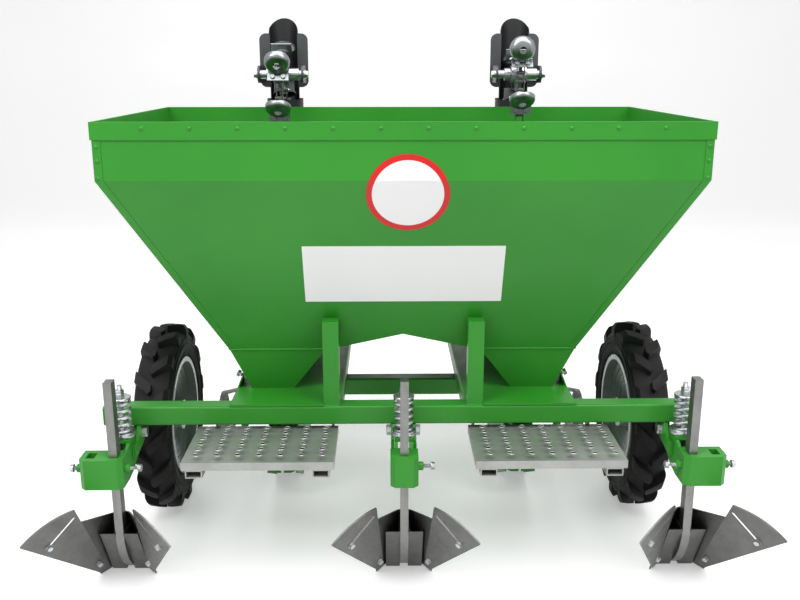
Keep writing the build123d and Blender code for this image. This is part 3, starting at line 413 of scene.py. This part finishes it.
def chain_places(side, distances, x):
    """Placings along the loop: local X points along the travel, local Y outwards, local Z across."""
    y, top = sprocket_centre(f"upper_sprocket_{side}")
    low = sprocket_centre(f"lower_sprocket_{side}")[1]
    straight, bend = top - low, math.pi * CHAIN_R
    d = np.asarray(distances, dtype=float) % (2 * (straight + bend))
    up = d < straight
    over = ~up & (d < straight + bend)
    down = ~up & ~over & (d < 2 * straight + bend)
    turn = np.where(up, 0.0, np.where(over, (d - straight) / CHAIN_R,
                    np.where(down, math.pi, math.pi + (d - 2 * straight - bend) / CHAIN_R)))
    centre_z = np.where(up, low + d, np.where(over, top, np.where(down, top - (d - straight - bend), low)))
    out = np.stack([0 * d, -np.cos(turn), np.sin(turn)], axis=1)
    ahead = np.stack([0 * d, np.sin(turn), np.cos(turn)], axis=1)
    matrices = np.tile(np.eye(4), (len(d), 1, 1))
    matrices[:, :3, 0], matrices[:, :3, 1], matrices[:, :3, 2] = ahead, out, np.cross(ahead, out)
    matrices[:, :3, 3] = np.stack([x + 0 * d, y + 0 * d, centre_z], axis=1) + CHAIN_R * out
    return matrices


def loop_length(side):
    """Length of the whole loop: two straight runs and two half turns."""
    top, low = sprocket_centre(f"upper_sprocket_{side}")[1], sprocket_centre(f"lower_sprocket_{side}")[1]
    return 2 * (top - low + math.pi * CHAIN_R)


print("elevator loop", round(loop_length("left"), 4), "m")

# %% Links, rollers and cups
LINK_H, LINK_T, ROLLER_R, CHAIN_HALF = 0.0065, 0.0022, 0.0055, 0.0075


def link_plate(pitch):
    """A waisted link: an outline whose half height is full round each pin and drawn in between them."""
    a = np.linspace(0, 2 * math.pi, 20, endpoint=False)
    x = (pitch / 2) * np.tanh(2.4 * np.cos(a)) + 0.75 * LINK_H * np.cos(a)
    y = LINK_H * np.sin(a) * (1 - 0.30 * np.exp(-(x / (0.3 * pitch)) ** 2))
    return bevelled_slab(np.stack([x, y], axis=1), LINK_T, 0.0005)


CUP_R, CUP_DEEP, CUP_HOLE, CUP_TILT = 0.034, 0.020, 0.010, math.radians(34)
CUP_OUT = 0.046                   # cup axis out from the chain's pitch line
CUP_ROLL = 0.0018                 # radius of the rolled rim
CUP_DIP, DIP_WIDE = 0.0045, 0.30  # depth of the dip in the rim, and its spread in radians


def pressed_cup():
    """A bowl pressed from sheet: inner and outer quarter-round walls join over a rolled rim, and the
    near side of the rim dips; the bottom keeps a round hole. Local X is the mouth's way, Y outwards."""
    s = np.linspace(0, math.pi / 2, 9)
    inner = np.stack([CUP_HOLE + (CUP_R - CUP_HOLE) * np.sin(s) ** 0.8, -CUP_DEEP * np.cos(s)], axis=1)
    roll = np.linspace(0, math.pi, 5)[1:-1]
    rim = np.stack([CUP_R + CUP_ROLL - CUP_ROLL * np.cos(roll), CUP_ROLL * np.sin(roll)], axis=1)
    outer = inner[::-1] + (0.0030, -0.0012)
    outer[-1] = inner[0] + (0.0004, -0.0022)
    profile = np.concatenate([inner, rim, outer, inner[:1]])
    around = np.linspace(0, 2 * math.pi, 28, endpoint=False)
    lip = np.clip(profile[:, 1:2] / CUP_DEEP + 1, 0, 1) ** 3
    dip = CUP_DIP * np.exp(-(np.minimum(around, 2 * math.pi - around) / DIP_WIDE) ** 2)
    x = profile[:, 1:2] - lip * dip
    y = profile[:, 0:1] * np.cos(around)
    z = profile[:, 0:1] * np.sin(around)
    points = np.stack([x + 0 * y, y, z], axis=-1).reshape(-1, 3)
    quads = grid_quads(len(profile), len(around), close_cols=True)
    c, s = math.cos(CUP_TILT), math.sin(CUP_TILT)
    bowl = points @ np.array([[c, -s, 0], [s, c, 0], [0, 0, 1]]), quads
    return moved(bowl, (0.0, CUP_OUT, 0.0))


def cup_stem():
    """The bracket under a cup: a strip out from the chain, and a plate across it that carries two nuts."""
    strip = np.array([(-0.010, -0.012), (-0.010, 0.012), (0.004, 0.012), (0.004, -0.012)])
    slab = bevelled_slab(strip, 0.018, 0.0006)
    strip = slab[0][:, [0, 2, 1]] + (-0.012, 0.004, 0.0), slab[1][:, ::-1]
    face = np.array([(-0.046, -0.030), (-0.046, 0.030), (-0.014, 0.030), (-0.014, -0.030)])
    slab = bevelled_slab(face, 0.003, 0.0006)
    face = slab[0][:, [0, 2, 1]] + (0.0, 0.020, 0.0), slab[1][:, ::-1]
    nuts = copies(hex_head(0.013, 0.006), [placing((-0.035, 0.023, z), (0, 1, 0)) for z in (-0.015, 0.015)])
    return join([strip, face, nuts])


for side in ("left", "right"):
    x = np.array(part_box(f"upper_sprocket_{side}"))[:, 0].mean()
    length = loop_length(side)
    pitch = length / LINK_COUNT
    spots = (np.arange(LINK_COUNT) + 0.5) * pitch
    plates = []
    for parity, half in ((0, CHAIN_HALF), (1, CHAIN_HALF + LINK_T)):
        for across in (-half - LINK_T, half):
            flat = moved(link_plate(pitch), (0, 0, across))
            plates.append(copies(flat, chain_places(side, spots[parity::2], x)))
    pin_places = chain_places(side, np.arange(LINK_COUNT) * pitch, x)
    pin = lathe([(0, -0.013), (0.0028, -0.013), (0.0028, -0.008), (ROLLER_R, -0.007), (ROLLER_R, 0.007),
                 (0.0028, 0.008), (0.0028, 0.013), (0, 0.013)], 10)
    chain = join(plates + [copies(pin, pin_places)])
    mesh_piece(f"roller_chain_{side}", chain, chain_steel, "frame")
    cup_places = chain_places(side, CUP_START[side] + np.arange(CUP_COUNT) * length / CUP_COUNT, x)
    row = join([copies(pressed_cup(), cup_places), copies(cup_stem(), cup_places)])
    cups = mesh_piece(f"pressed_cups_{side}", row, cup_zinc, "frame")
    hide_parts(f"cup_chain_{side}")
    print(side, "chain:", LINK_COUNT, "links of", round(pitch * 1000, 2), "mm and", CUP_COUNT, "cups")

# %% [markdown]
# ## Platform tread
#
# The two loading platforms are rolled sheet with punched eyes, so that boots grip. Each eye is a low
# ring round a hole, and its slant changes from row to row. Each hole is drawn as a dark disc a hair
# above the sheet, painted shade that stands for the dark seen through the hole, which saves cutting the
# solid.

# %% Punched eyes
EYE_COLUMNS, EYE_ROWS = 7, 6
EYE_LONG, EYE_WIDE, EYE_SLANT = 0.0090, 0.0062, math.radians(40)


def squashed(shape, slant):
    """A turned shape drawn out to an ellipse along X and swung by a slant about Z."""
    points = shape[0] * (EYE_LONG, EYE_WIDE, 1.0)
    c, s = math.cos(slant), math.sin(slant)
    return points @ np.array([[c, s, 0], [-s, c, 0], [0, 0, 1]]), shape[1]


EYE_RING = lathe([(1.12, 0.0), (1.06, 0.0003), (0.98, 0.0010), (0.92, 0.0013), (0.86, 0.0010), (0.80, 0.0003),
                  (0.80, 0.0)], 18)
# A flat dark disc in each eye: painted shade that stands for the dark seen through the punched hole.
EYE_HOLE_SHADE = lathe([(0.0, 0.0004), (0.84, 0.0004), (0.84, 0.0), (0.0, 0.0)], 18)


def eye_places(side, sheet_top):
    """Where the eyes stand on one platform: columns along X and even rows along Y."""
    low, high = np.array(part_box(f"platform_{side}"))
    near, far = low[1] + 0.016, low[1] + 0.178
    x, rows = np.meshgrid(np.linspace(low[0] + 0.033, high[0] - 0.028, EYE_COLUMNS), np.arange(EYE_ROWS))
    deep = near + (far - near) * rows / (EYE_ROWS - 1)
    return np.stack([x.ravel(), deep.ravel(), np.full(x.size, sheet_top)], axis=1), rows.ravel() % 2


for side in ("left", "right"):
    sheet_top = np.array(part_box(f"platform_{side}"))[1, 2]
    spots, parity = eye_places(side, sheet_top)
    rings, hole_shades = [], []
    for odd, slant in ((0, -EYE_SLANT), (1, EYE_SLANT)):
        places = [placing(spot) for spot in spots[parity == odd]]
        rings.append(copies(squashed(EYE_RING, slant), places))
        hole_shades.append(copies(squashed(EYE_HOLE_SHADE, slant), places))
    mesh_piece(f"tread_eyes_{side}", join(rings), step_steel, "frame")
    # The dark discs are painted shade of the punched hole, drawn in the black enamel.
    mesh_piece(f"tread_hole_shades_{side}", join(hole_shades), black_paint, "frame")
print("punched", 2 * EYE_COLUMNS * EYE_ROWS, "eyes")

# %% [markdown]
# ## Sign and plate on the back of the hopper
#
# The round sign is a sticker that bends over the fold of the rear panel, and the plate is a flat
# sticker on the slope below it. Both stay blank. To lay them on the sheet, a point is first written as
# (x, distance from the fold), positive up the upright part and negative down the slope, and then
# mapped to the panel's outer face, with a small round over the fold itself.

# %% The panel's outer face
PANEL_LOW, PANEL_HIGH = np.array(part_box("hopper_rear_panel"))
FOLD_Z = 1.0                       # fold of the rear panel
SHEET_DEEP = 0.00436               # the sheet's thickness, measured level across the slope
SLOPE = np.array([PANEL_HIGH[1] - PANEL_LOW[1] - SHEET_DEEP, PANEL_LOW[2] - FOLD_Z])
SLOPE_LENGTH = np.linalg.norm(SLOPE)
SLOPE_WAY = SLOPE / SLOPE_LENGTH


def on_panel(x, run, lift):
    """Point of the outer face at x and at a run from the fold, raised by a lift along the face's normal."""
    x, run = np.broadcast_arrays(np.asarray(x, dtype=float), np.asarray(run, dtype=float))
    share = np.clip(0.5 + run / 0.012, 0.0, 1.0)          # 0 on the slope, 1 on the upright part
    y = PANEL_LOW[1] + np.where(run < 0, -run * SLOPE_WAY[0], 0.0)
    z = FOLD_Z + np.where(run < 0, -run * SLOPE_WAY[1], run)
    normal_y = share * -1.0 + (1 - share) * SLOPE_WAY[1]
    normal_z = (1 - share) * -SLOPE_WAY[0]
    scale = lift / np.hypot(normal_y, normal_z)
    return np.stack([x, y + normal_y * scale, z + normal_z * scale], axis=-1)


def sticker(x, run, thick):
    """A thin sheet over a grid of (x, run): a raised face whose edge ring drops back to the panel."""
    rows, cols = x.shape
    pad = lambda a: np.pad(a, 1, mode="edge")
    lift = np.full((rows + 2, cols + 2), 0.0001)
    lift[1:-1, 1:-1] = thick
    points = on_panel(pad(x), pad(run), lift)
    return points.reshape(-1, 3), grid_quads(rows + 2, cols + 2)


print("slope of the rear panel", round(SLOPE_LENGTH, 4), "m")

# %% Blank sign and plate
SIGN_R, SIGN_RING, SIGN_X, SIGN_RUN = 0.096, 0.0135, 0.008, -0.037
PLATE_W, PLATE_TOP, PLATE_END = 0.485, 0.179, 0.345


def round_sticker(r0, r1, thick):
    """A ring or disc on the panel: radius and angle are the grid, laid out about the sign's middle."""
    r, a = np.meshgrid(np.linspace(r0, r1, 36), np.linspace(0, 2 * math.pi, 181), indexing="ij")
    return sticker(SIGN_X + r * np.cos(a), SIGN_RUN + r * np.sin(a), thick)


x, run = np.meshgrid(np.linspace(-PLATE_W / 2, PLATE_W / 2, 12), np.linspace(-PLATE_TOP, -PLATE_END, 6))
mesh_piece("blank_sign_disc", round_sticker(0.0, SIGN_R - SIGN_RING, 0.0011), white_vinyl, "frame")
mesh_piece("red_sign_ring", round_sticker(SIGN_R - SIGN_RING, SIGN_R, 0.0013), red_paint, "frame")
mesh_piece("blank_plate", sticker(x, run, 0.0008), white_vinyl, "frame")
print("sign", 2 * SIGN_R, "m across, plate", PLATE_W, "m wide")

# %% [markdown]
# ## Rivets, bands and weld beads of the hopper
#
# The rim is riveted to the panels, a narrow band follows each slanting side, and the funnels and posts
# are welded on. A weld bead is a round bar whose thickness swells with every drop of metal. These are
# all small, but they catch the light where two sheets meet, which a bare edge does not.

# %% Rivets and bands
RIVET_COUNT, RIVET_STEP = 12, 0.1058
RIM_LOW, RIM_HIGH = np.array(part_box("hopper_rim"))
RIVET = lathe([(0.0048, 0.0), (0.0046, 0.0009), (0.0036, 0.0020), (0.0018, 0.0027), (0.0, 0.0029)], 14)
rivet_x = (np.arange(RIVET_COUNT) - (RIVET_COUNT - 1) / 2) * RIVET_STEP
rivet_z = RIM_HIGH[2] - 0.014
rear = [placing((x, RIM_LOW[1], rivet_z), (0, -1, 0)) for x in rivet_x]
front = [placing((x, RIM_HIGH[1], rivet_z), (0, 1, 0)) for x in rivet_x]
side_y = np.linspace(RIM_LOW[1] + 0.08, RIM_HIGH[1] - 0.08, 6)
side_edges = ((RIM_LOW[0], -1), (RIM_HIGH[0], 1))
ends = [placing((edge, y, rivet_z), (way, 0, 0)) for edge, way in side_edges for y in side_y]
mesh_piece("rim_rivets", copies(RIVET, rear + front + ends), green_paint, "frame")
BAND_W = 0.019
fold_half, foot_half = PANEL_HIGH[0], 0.448
bands = []
band_spots = []
for sign in (-1, 1):
    run = np.concatenate([[0.089, 0.045, 0.008], np.linspace(0, -SLOPE_LENGTH + 0.004, 9)])[:, None]
    edge = fold_half + (fold_half - foot_half) * np.minimum(run, 0) / SLOPE_LENGTH
    x = sign * (edge - np.array([[0.0015, BAND_W]]))
    bands.append(sticker(x, run + 0 * x, 0.0014))
    band_spots += [on_panel(sign * (fold_half - 0.010), r, 0.0014) for r in (0.076, 0.044, 0.006)]
mesh_piece("side_bands", join(bands), green_paint, "frame")
band_places = [placing(spot, (0, -1, 0)) for spot in band_spots]
mesh_piece("band_rivets", copies(RIVET, band_places), green_paint, "frame")
print("rivets", len(rear + front + ends + band_places))

# %% Weld beads


def weld(start, end, radius=0.0032, drop=0.006):
    """A bead of metal drops: a bar along a line whose radius swells and shrinks once per drop."""
    start, end = np.asarray(start, dtype=float), np.asarray(end, dtype=float)
    length = np.linalg.norm(end - start)
    t = np.linspace(0, 1, max(int(length / drop * 4), 8))[:, None]
    path = start + (end - start) * t
    points, quads = tube_along(path, 1.0, 8)
    rings = points.reshape(len(path) + 2, 8, 3)
    swell = radius * (0.82 + 0.18 * np.abs(np.sin(math.pi * t * length / drop)))
    rings[1:-1] = path[:, None] + (rings[1:-1] - path[:, None]) * swell[:, None]
    return rings.reshape(-1, 3), quads


beads = []
for side in ("left", "right"):
    low, high = np.array(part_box(f"funnel_{side}"))
    top, back = high[2], low[1]
    beads.append(weld((low[0], back, top), (high[0], back, top)))
    outer = low[0] if side == "left" else high[0]
    beads.append(weld((outer, back, top), (outer, high[1], top)))
    post_low, post_high = np.array(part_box(f"hopper_post_{side}"))
    for x in (post_low[0], post_high[0]):
        beads.append(weld((x, post_low[1], post_low[2]), (x, post_high[1], post_low[2])))
    beads.append(weld((post_low[0], post_low[1], post_low[2]), (post_high[0], post_low[1], post_low[2])))
mesh_piece("weld_beads", join(beads), green_paint, "frame")
print("laid", len(beads), "weld beads")

# %% [markdown]
# ## Bolts, bosses and wheel details
#
# Bolts show how the machine comes apart: set bolts hold the shanks in their clamps, long bolts carry
# the arms, and each wing hangs on two bolts. A bolt here is a hexagon head, a washer and, where it
# stands out, a threaded shank. Each kind is made once, pointing along local Z, and copied to where the
# frame says it belongs.

# %% Bolt shapes
WASHER_T = 0.0016                 # washer under a bolt head


def bolt(across, head, shank_r=0.0, shank=0.0):
    """A hexagon head on a washer, standing on local Z = 0, or on the end of a threaded shank."""
    r, top = across * 0.62, shank + WASHER_T
    washer = lathe([(0, shank), (r, shank), (r, top), (0, top)], 20)
    parts = [washer, moved(hex_head(across, head), (0, 0, top))]
    if shank:
        parts.append(thread(shank_r, 0.0, shank))
    return join(parts)


def boss(radius, length):
    """A welded nut under a set bolt: a short round with a softened end."""
    return lathe([(0, 0), (radius, 0), (radius, length - 0.002), (radius - 0.002, length), (0, length)], 24)


SET_BOLT = bolt(0.016, 0.0075, 0.0048, 0.018)
PIVOT_HEAD = bolt(0.024, 0.010)
print("bolt shapes ready")

# %% Clamp and pivot bolts
BOSS_L = 0.013
bosses, bolts, pivots = [], [], []
for name in HILLERS:
    arm_low, arm_high = np.array(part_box(f"hiller_arm_{name}"))
    shank_low, shank_high = np.array(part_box(f"hiller_shank_{name}"))
    mid_x, rear_face = (shank_low + shank_high)[0] / 2, arm_low[1]
    clamp_low = arm_low[2]
    y, z = rear_face + 0.031, clamp_low + 0.044
    inner = arm_high[0] if name in ("left", "centre") else arm_low[0]
    turn = 1 if name in ("left", "centre") else -1
    bosses.append(placing((inner, y, z), (turn, 0, 0)))
    bolts.append(placing((inner + turn * BOSS_L, y, z), (turn, 0, 0)))
    if name != "centre":
        outer = arm_low[0] if name == "left" else arm_high[0]
        bosses.append(placing((outer, y, z), (-turn, 0, 0)))
        bolts.append(placing((outer - turn * BOSS_L * 0.2, y, z), (-turn, 0, 0)))
    pivot_y, pivot_z = arm_high[1] - 0.018, clamp_low + 0.078
    for sign in (-1, 1):
        pivots.append(placing((mid_x + sign * 0.032, pivot_y, pivot_z), (sign, 0, 0)))
mesh_piece("clamp_bosses", copies(boss(0.0105, BOSS_L), bosses), green_paint, "frame")
mesh_piece("clamp_bolts", copies(SET_BOLT, bolts), zinc, "frame")
mesh_piece("pivot_bolts", copies(PIVOT_HEAD, pivots), zinc, "frame")
print(len(bolts), "set bolts and", len(pivots), "pivot heads")

# %% Wing bolts
LEAN = math.radians(28.5)          # of the share and its wings
KNEE_X, SHEET_T = 0.072, 0.0043    # where share and wing meet, and the lap of the wing on the share
UP = np.array([0.0, -math.sin(LEAN), math.cos(LEAN)])


def wing_points(name):
    """Knee, the way across a wing and its rear normal, from the boxes of wing and shank."""
    low, high = np.array(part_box(f"hiller_wings_{name}"))
    middle = (low + high)[0] / 2
    shank_rear = np.array(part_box(f"hiller_shank_{name}"))[0, 1]
    knee = np.array([KNEE_X, shank_rear + 0.045, 0.001])
    tip = np.array([0.173, shank_rear - 0.170, 0.202])
    reach = tip - knee
    across = reach - UP * (reach @ UP)
    across /= np.linalg.norm(across)
    return middle, knee, across, np.cross(across, UP), np.array([reach @ UP, reach @ across])


places = []
for name in HILLERS:
    middle, knee, across, rear, tip = wing_points(name)
    for along, out in ((0.8 * tip[0], 0.6 * tip[1]), (0.052, -0.006)):
        spot = knee + UP * along + across * out + rear * (2 * SHEET_T - 0.0003)
        for sign in (-1, 1):
            mirror = np.array([sign, 1, 1])
            places.append(placing(spot * mirror + (middle, 0, 0), rear * mirror))
mesh_piece("wing_bolts", copies(bolt(0.013, 0.0065), places), zinc, "frame")
print(len(places), "wing bolts")

# %% Stay bolts, head spacers and wheel studs
stays = []
for side, sign in (("left", -1), ("right", 1)):
    low, high = np.array(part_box(f"base_plate_{side}"))
    stays.append(placing((sign * 0.4305, low[1] + 0.165, high[2] - 0.022), (sign, 0, 0.5)))
mesh_piece("stay_bolts", copies(bolt(0.016, 0.008, 0.005, 0.006), stays), zinc, "frame")
spacers = []
for side in ("left", "right"):
    low, high = np.array(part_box(f"upper_sprocket_{side}"))
    middle = (low + high) / 2
    for sign, inner, length in ((-1, 0.024, 0.018), (1, 0.024, 0.030)):
        start = middle + (sign * inner, 0, 0)
        sleeve = lathe([(0.0127, 0), (0.017, 0), (0.018, 0.001), (0.018, length - 0.001), (0.017, length),
                        (0.0127, length)], 28)
        spacers.append(copies(sleeve, [placing(start, (sign, 0, 0))]))
        end = placing(middle + (sign * 0.0735, 0, 0), (sign, 0, 0))
        spacers.append(copies(hex_head(0.019, 0.006), [end]))
mesh_piece("head_spacers", join(spacers), zinc, "frame")
STUD_COUNT, STUD_R, DISC_FACE = 5, 0.058, 0.0088
for side, sign in (("left", -1), ("right", 1)):
    low, high = np.array(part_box(f"rim_{side}"))
    hub = (low + high) / 2
    turn = np.arange(STUD_COUNT) * 2 * math.pi / STUD_COUNT
    outer = sign * DISC_FACE
    studs = [placing(hub + (outer, STUD_R * math.cos(t), STUD_R * math.sin(t)), (sign, 0, 0)) for t in turn]
    mesh_piece(f"wheel_studs_{side}", copies(bolt(0.017, 0.011), studs), zinc, f"wheel_{side}")
print("wheel studs", 2 * STUD_COUNT)

# %% Ribbed rim face and tyre beads
FACE_IN, FACE_OUT, FACE_RISE, RIB_PITCH, RIB_H = 0.060, 0.1535, 0.022, 0.0187, 0.0055
WALL = np.array([(0.158, 0.028), (0.1955, 0.047), (0.233, 0.043)])   # (radius, half width) of the side
BEADS = ((0.170, 0.0022), (0.181, 0.0022), (0.207, 0.0020), (0.221, 0.0020))


def ribbed_face():
    """A cone of pressed sheet whose height swings with the radius: each swing is one round rib."""
    r = np.linspace(FACE_IN, FACE_OUT, 61)
    rise = FACE_RISE * (r - FACE_IN) / (FACE_OUT - FACE_IN) - 0.004
    front = rise + RIB_H * (0.5 - 0.5 * np.cos(2 * math.pi * (r - FACE_IN) / RIB_PITCH))
    back = np.column_stack([r[[-1, 0]], rise[[-1, 0]] - 0.003])
    profile = np.concatenate([np.column_stack([r, front]), back])
    return lathe(np.concatenate([profile, profile[:1]]), 72)


def tyre_bead(radius, bead):
    """A thin ring moulded on the tyre's side: a small circle turned about the axle, half sunk in the wall,
    whose half width follows the parabola through three points of the wall."""
    half = np.polyval(np.polyfit(WALL[:, 0], WALL[:, 1], 2), radius)
    a = np.linspace(0, 2 * math.pi, 9)
    return lathe(np.column_stack([radius + bead * np.cos(a), half + bead * np.sin(a)]), 72)


for side, sign in (("left", -1), ("right", 1)):
    hub = np.array(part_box(f"rim_{side}")).mean(axis=0)
    inward, outward = placing(hub, (-sign, 0, 0)), placing(hub, (sign, 0, 0))
    mesh_piece(f"rim_face_{side}", copies(ribbed_face(), [inward]), rim_paint, f"wheel_{side}")
    rings = join([tyre_bead(*bead) for bead in BEADS])
    mesh_piece(f"tyre_beads_{side}", copies(rings, [inward, outward]), tyre_rubber, f"wheel_{side}")
print("ribbed faces and", 4 * len(BEADS), "tyre beads")

# %% [markdown]
# ## Stage, light and camera
#
# The floor is a wide pale sheet that curves up far behind the machine. Soft light comes from a large
# panel above and two at the sides, and the sky fills the shadows. The camera stands 2.5 m behind the
# axle at chest height and looks down a little, with the lens that gives the same perspective.

# %% Floor and backdrop


def whiten(tree, shader, glow):
    """Add a plain white glow to what camera and mirror rays see, so the floor stays pale in shade."""
    path = tree.nodes.new("ShaderNodeLightPath")
    either = tree.nodes.new("ShaderNodeMath")
    either.operation = "MAXIMUM"
    tree.links.new(path.outputs["Is Camera Ray"], either.inputs[0])
    tree.links.new(path.outputs["Is Glossy Ray"], either.inputs[1])
    part = tree.nodes.new("ShaderNodeMath")
    part.operation = "MULTIPLY"
    part.inputs[1].default_value = glow
    tree.links.new(either.outputs["Value"], part.inputs[0])
    shader.inputs["Emission Color"].default_value = (1, 1, 1, 1)
    tree.links.new(part.outputs["Value"], shader.inputs["Emission Strength"])


def pale_floor():
    """A sheet that runs flat towards the viewer and bends up in a quarter circle behind the machine."""
    bend, back, wide, near, tall = 1.5, 4.5, 9.0, -6.0, 5.0
    turn = np.linspace(0, math.pi / 2, 24)
    y = np.concatenate([[near], back + bend * np.sin(turn), [back + bend]])
    z = np.concatenate([[0.0], bend - bend * np.cos(turn), [tall]])
    x = np.linspace(-wide, wide, 2)
    points = np.stack(np.broadcast_arrays(x[None], y[:, None], z[:, None]), axis=-1)
    mesh = bpy.data.meshes.new("pale_floor")
    mesh.from_pydata(points.reshape(-1, 3).tolist(), [], grid_quads(len(y), 2).tolist())
    for face in mesh.polygons:
        face.use_smooth = True
    material, tree, shader, coords = start_finish("pale_floor", Roughness=0.32)
    cloud = noise(tree, coords, 0.8, detail=2.0)
    tones = ((0.3, (0.86, 0.86, 0.86)), (0.7, (0.88, 0.88, 0.88)))
    tree.links.new(ramp(tree, cloud, tones), shader.inputs["Base Color"])
    whiten(tree, shader, 0.36)
    mesh.materials.append(material)
    floor = bpy.data.objects.new("pale_floor", mesh)
    bpy.context.scene.collection.objects.link(floor)


pale_floor()

# %% Light


def soft_panel(name, place, target, size, watts):
    """A square area lamp at a place, aimed at a target."""
    lamp = bpy.data.lights.new(name, "AREA")
    lamp.energy, lamp.size = watts, size
    panel = bpy.data.objects.new(name, lamp)
    aim = np.asarray(place, dtype=float) - np.asarray(target, dtype=float)
    panel.matrix_world = Matrix(placing(place, aim).tolist())
    bpy.context.scene.collection.objects.link(panel)


PANELS = (("overhead", (0.0, -0.8, 3.4), (0, 0, 0.6), 3.2, 115.0),
          ("left_window", (-2.8, -2.6, 3.6), (0, 0, 0.6), 2.2, 82.0),
          ("right_window", (2.8, -2.4, 3.5), (0, 0, 0.6), 2.2, 70.0))
for panel in PANELS:
    soft_panel(*panel)


def white_sky(strength, seen):
    """An even sky: its light falls at one strength, and camera, mirror and glass rays see another."""
    world = bpy.data.worlds.new("studio")
    world.use_nodes = True
    bpy.context.scene.world = world
    tree = world.node_tree
    light = tree.nodes["Background"]
    light.inputs["Strength"].default_value = strength
    view = tree.nodes.new("ShaderNodeBackground")
    view.inputs["Strength"].default_value = seen
    for node in (light, view):
        node.inputs["Color"].default_value = (1, 1, 1, 1)
    path = tree.nodes.new("ShaderNodeLightPath")
    pick = path.outputs["Is Camera Ray"]
    for ray in ("Is Glossy Ray", "Is Transmission Ray"):
        either = tree.nodes.new("ShaderNodeMath")
        either.operation = "MAXIMUM"
        tree.links.new(pick, either.inputs[0])
        tree.links.new(path.outputs[ray], either.inputs[1])
        pick = either.outputs["Value"]
    mix = tree.nodes.new("ShaderNodeMixShader")
    tree.links.new(pick, mix.inputs["Fac"])
    tree.links.new(light.outputs["Background"], mix.inputs[1])
    tree.links.new(view.outputs["Background"], mix.inputs[2])
    tree.links.new(mix.outputs["Shader"], tree.nodes["World Output"].inputs["Surface"])


white_sky(0.35, 1.0)
bpy.context.scene.view_settings.view_transform = "Standard"

# %% Camera
IMAGE_W = 800                      # the picture is 800 x 600
FOCAL_PX = 900.0                   # focal length in pixels of that picture
CAMERA_BACK, CAMERA_HIGH, CAMERA_DOWN = 2.47, 1.25, math.radians(14.6)
CAMERA_SIDE, CAMERA_TURN = -0.042, math.radians(-0.89)
axle = next(j for j in frame["record"]["behaviour"]["joints"] if j["name"] == "wheel_left_spin")["pos_m"]
lens = bpy.data.cameras.new("camera")
lens.sensor_width = 36.0
lens.lens = lens.sensor_width * FOCAL_PX / IMAGE_W
camera = bpy.data.objects.new("camera", lens)
camera.location = (CAMERA_SIDE, axle[1] - CAMERA_BACK, CAMERA_HIGH)
camera.rotation_euler = (math.pi / 2 - CAMERA_DOWN, 0.0, CAMERA_TURN)
bpy.context.scene.collection.objects.link(camera)
bpy.context.scene.camera = camera
print("camera at", tuple(camera.location))
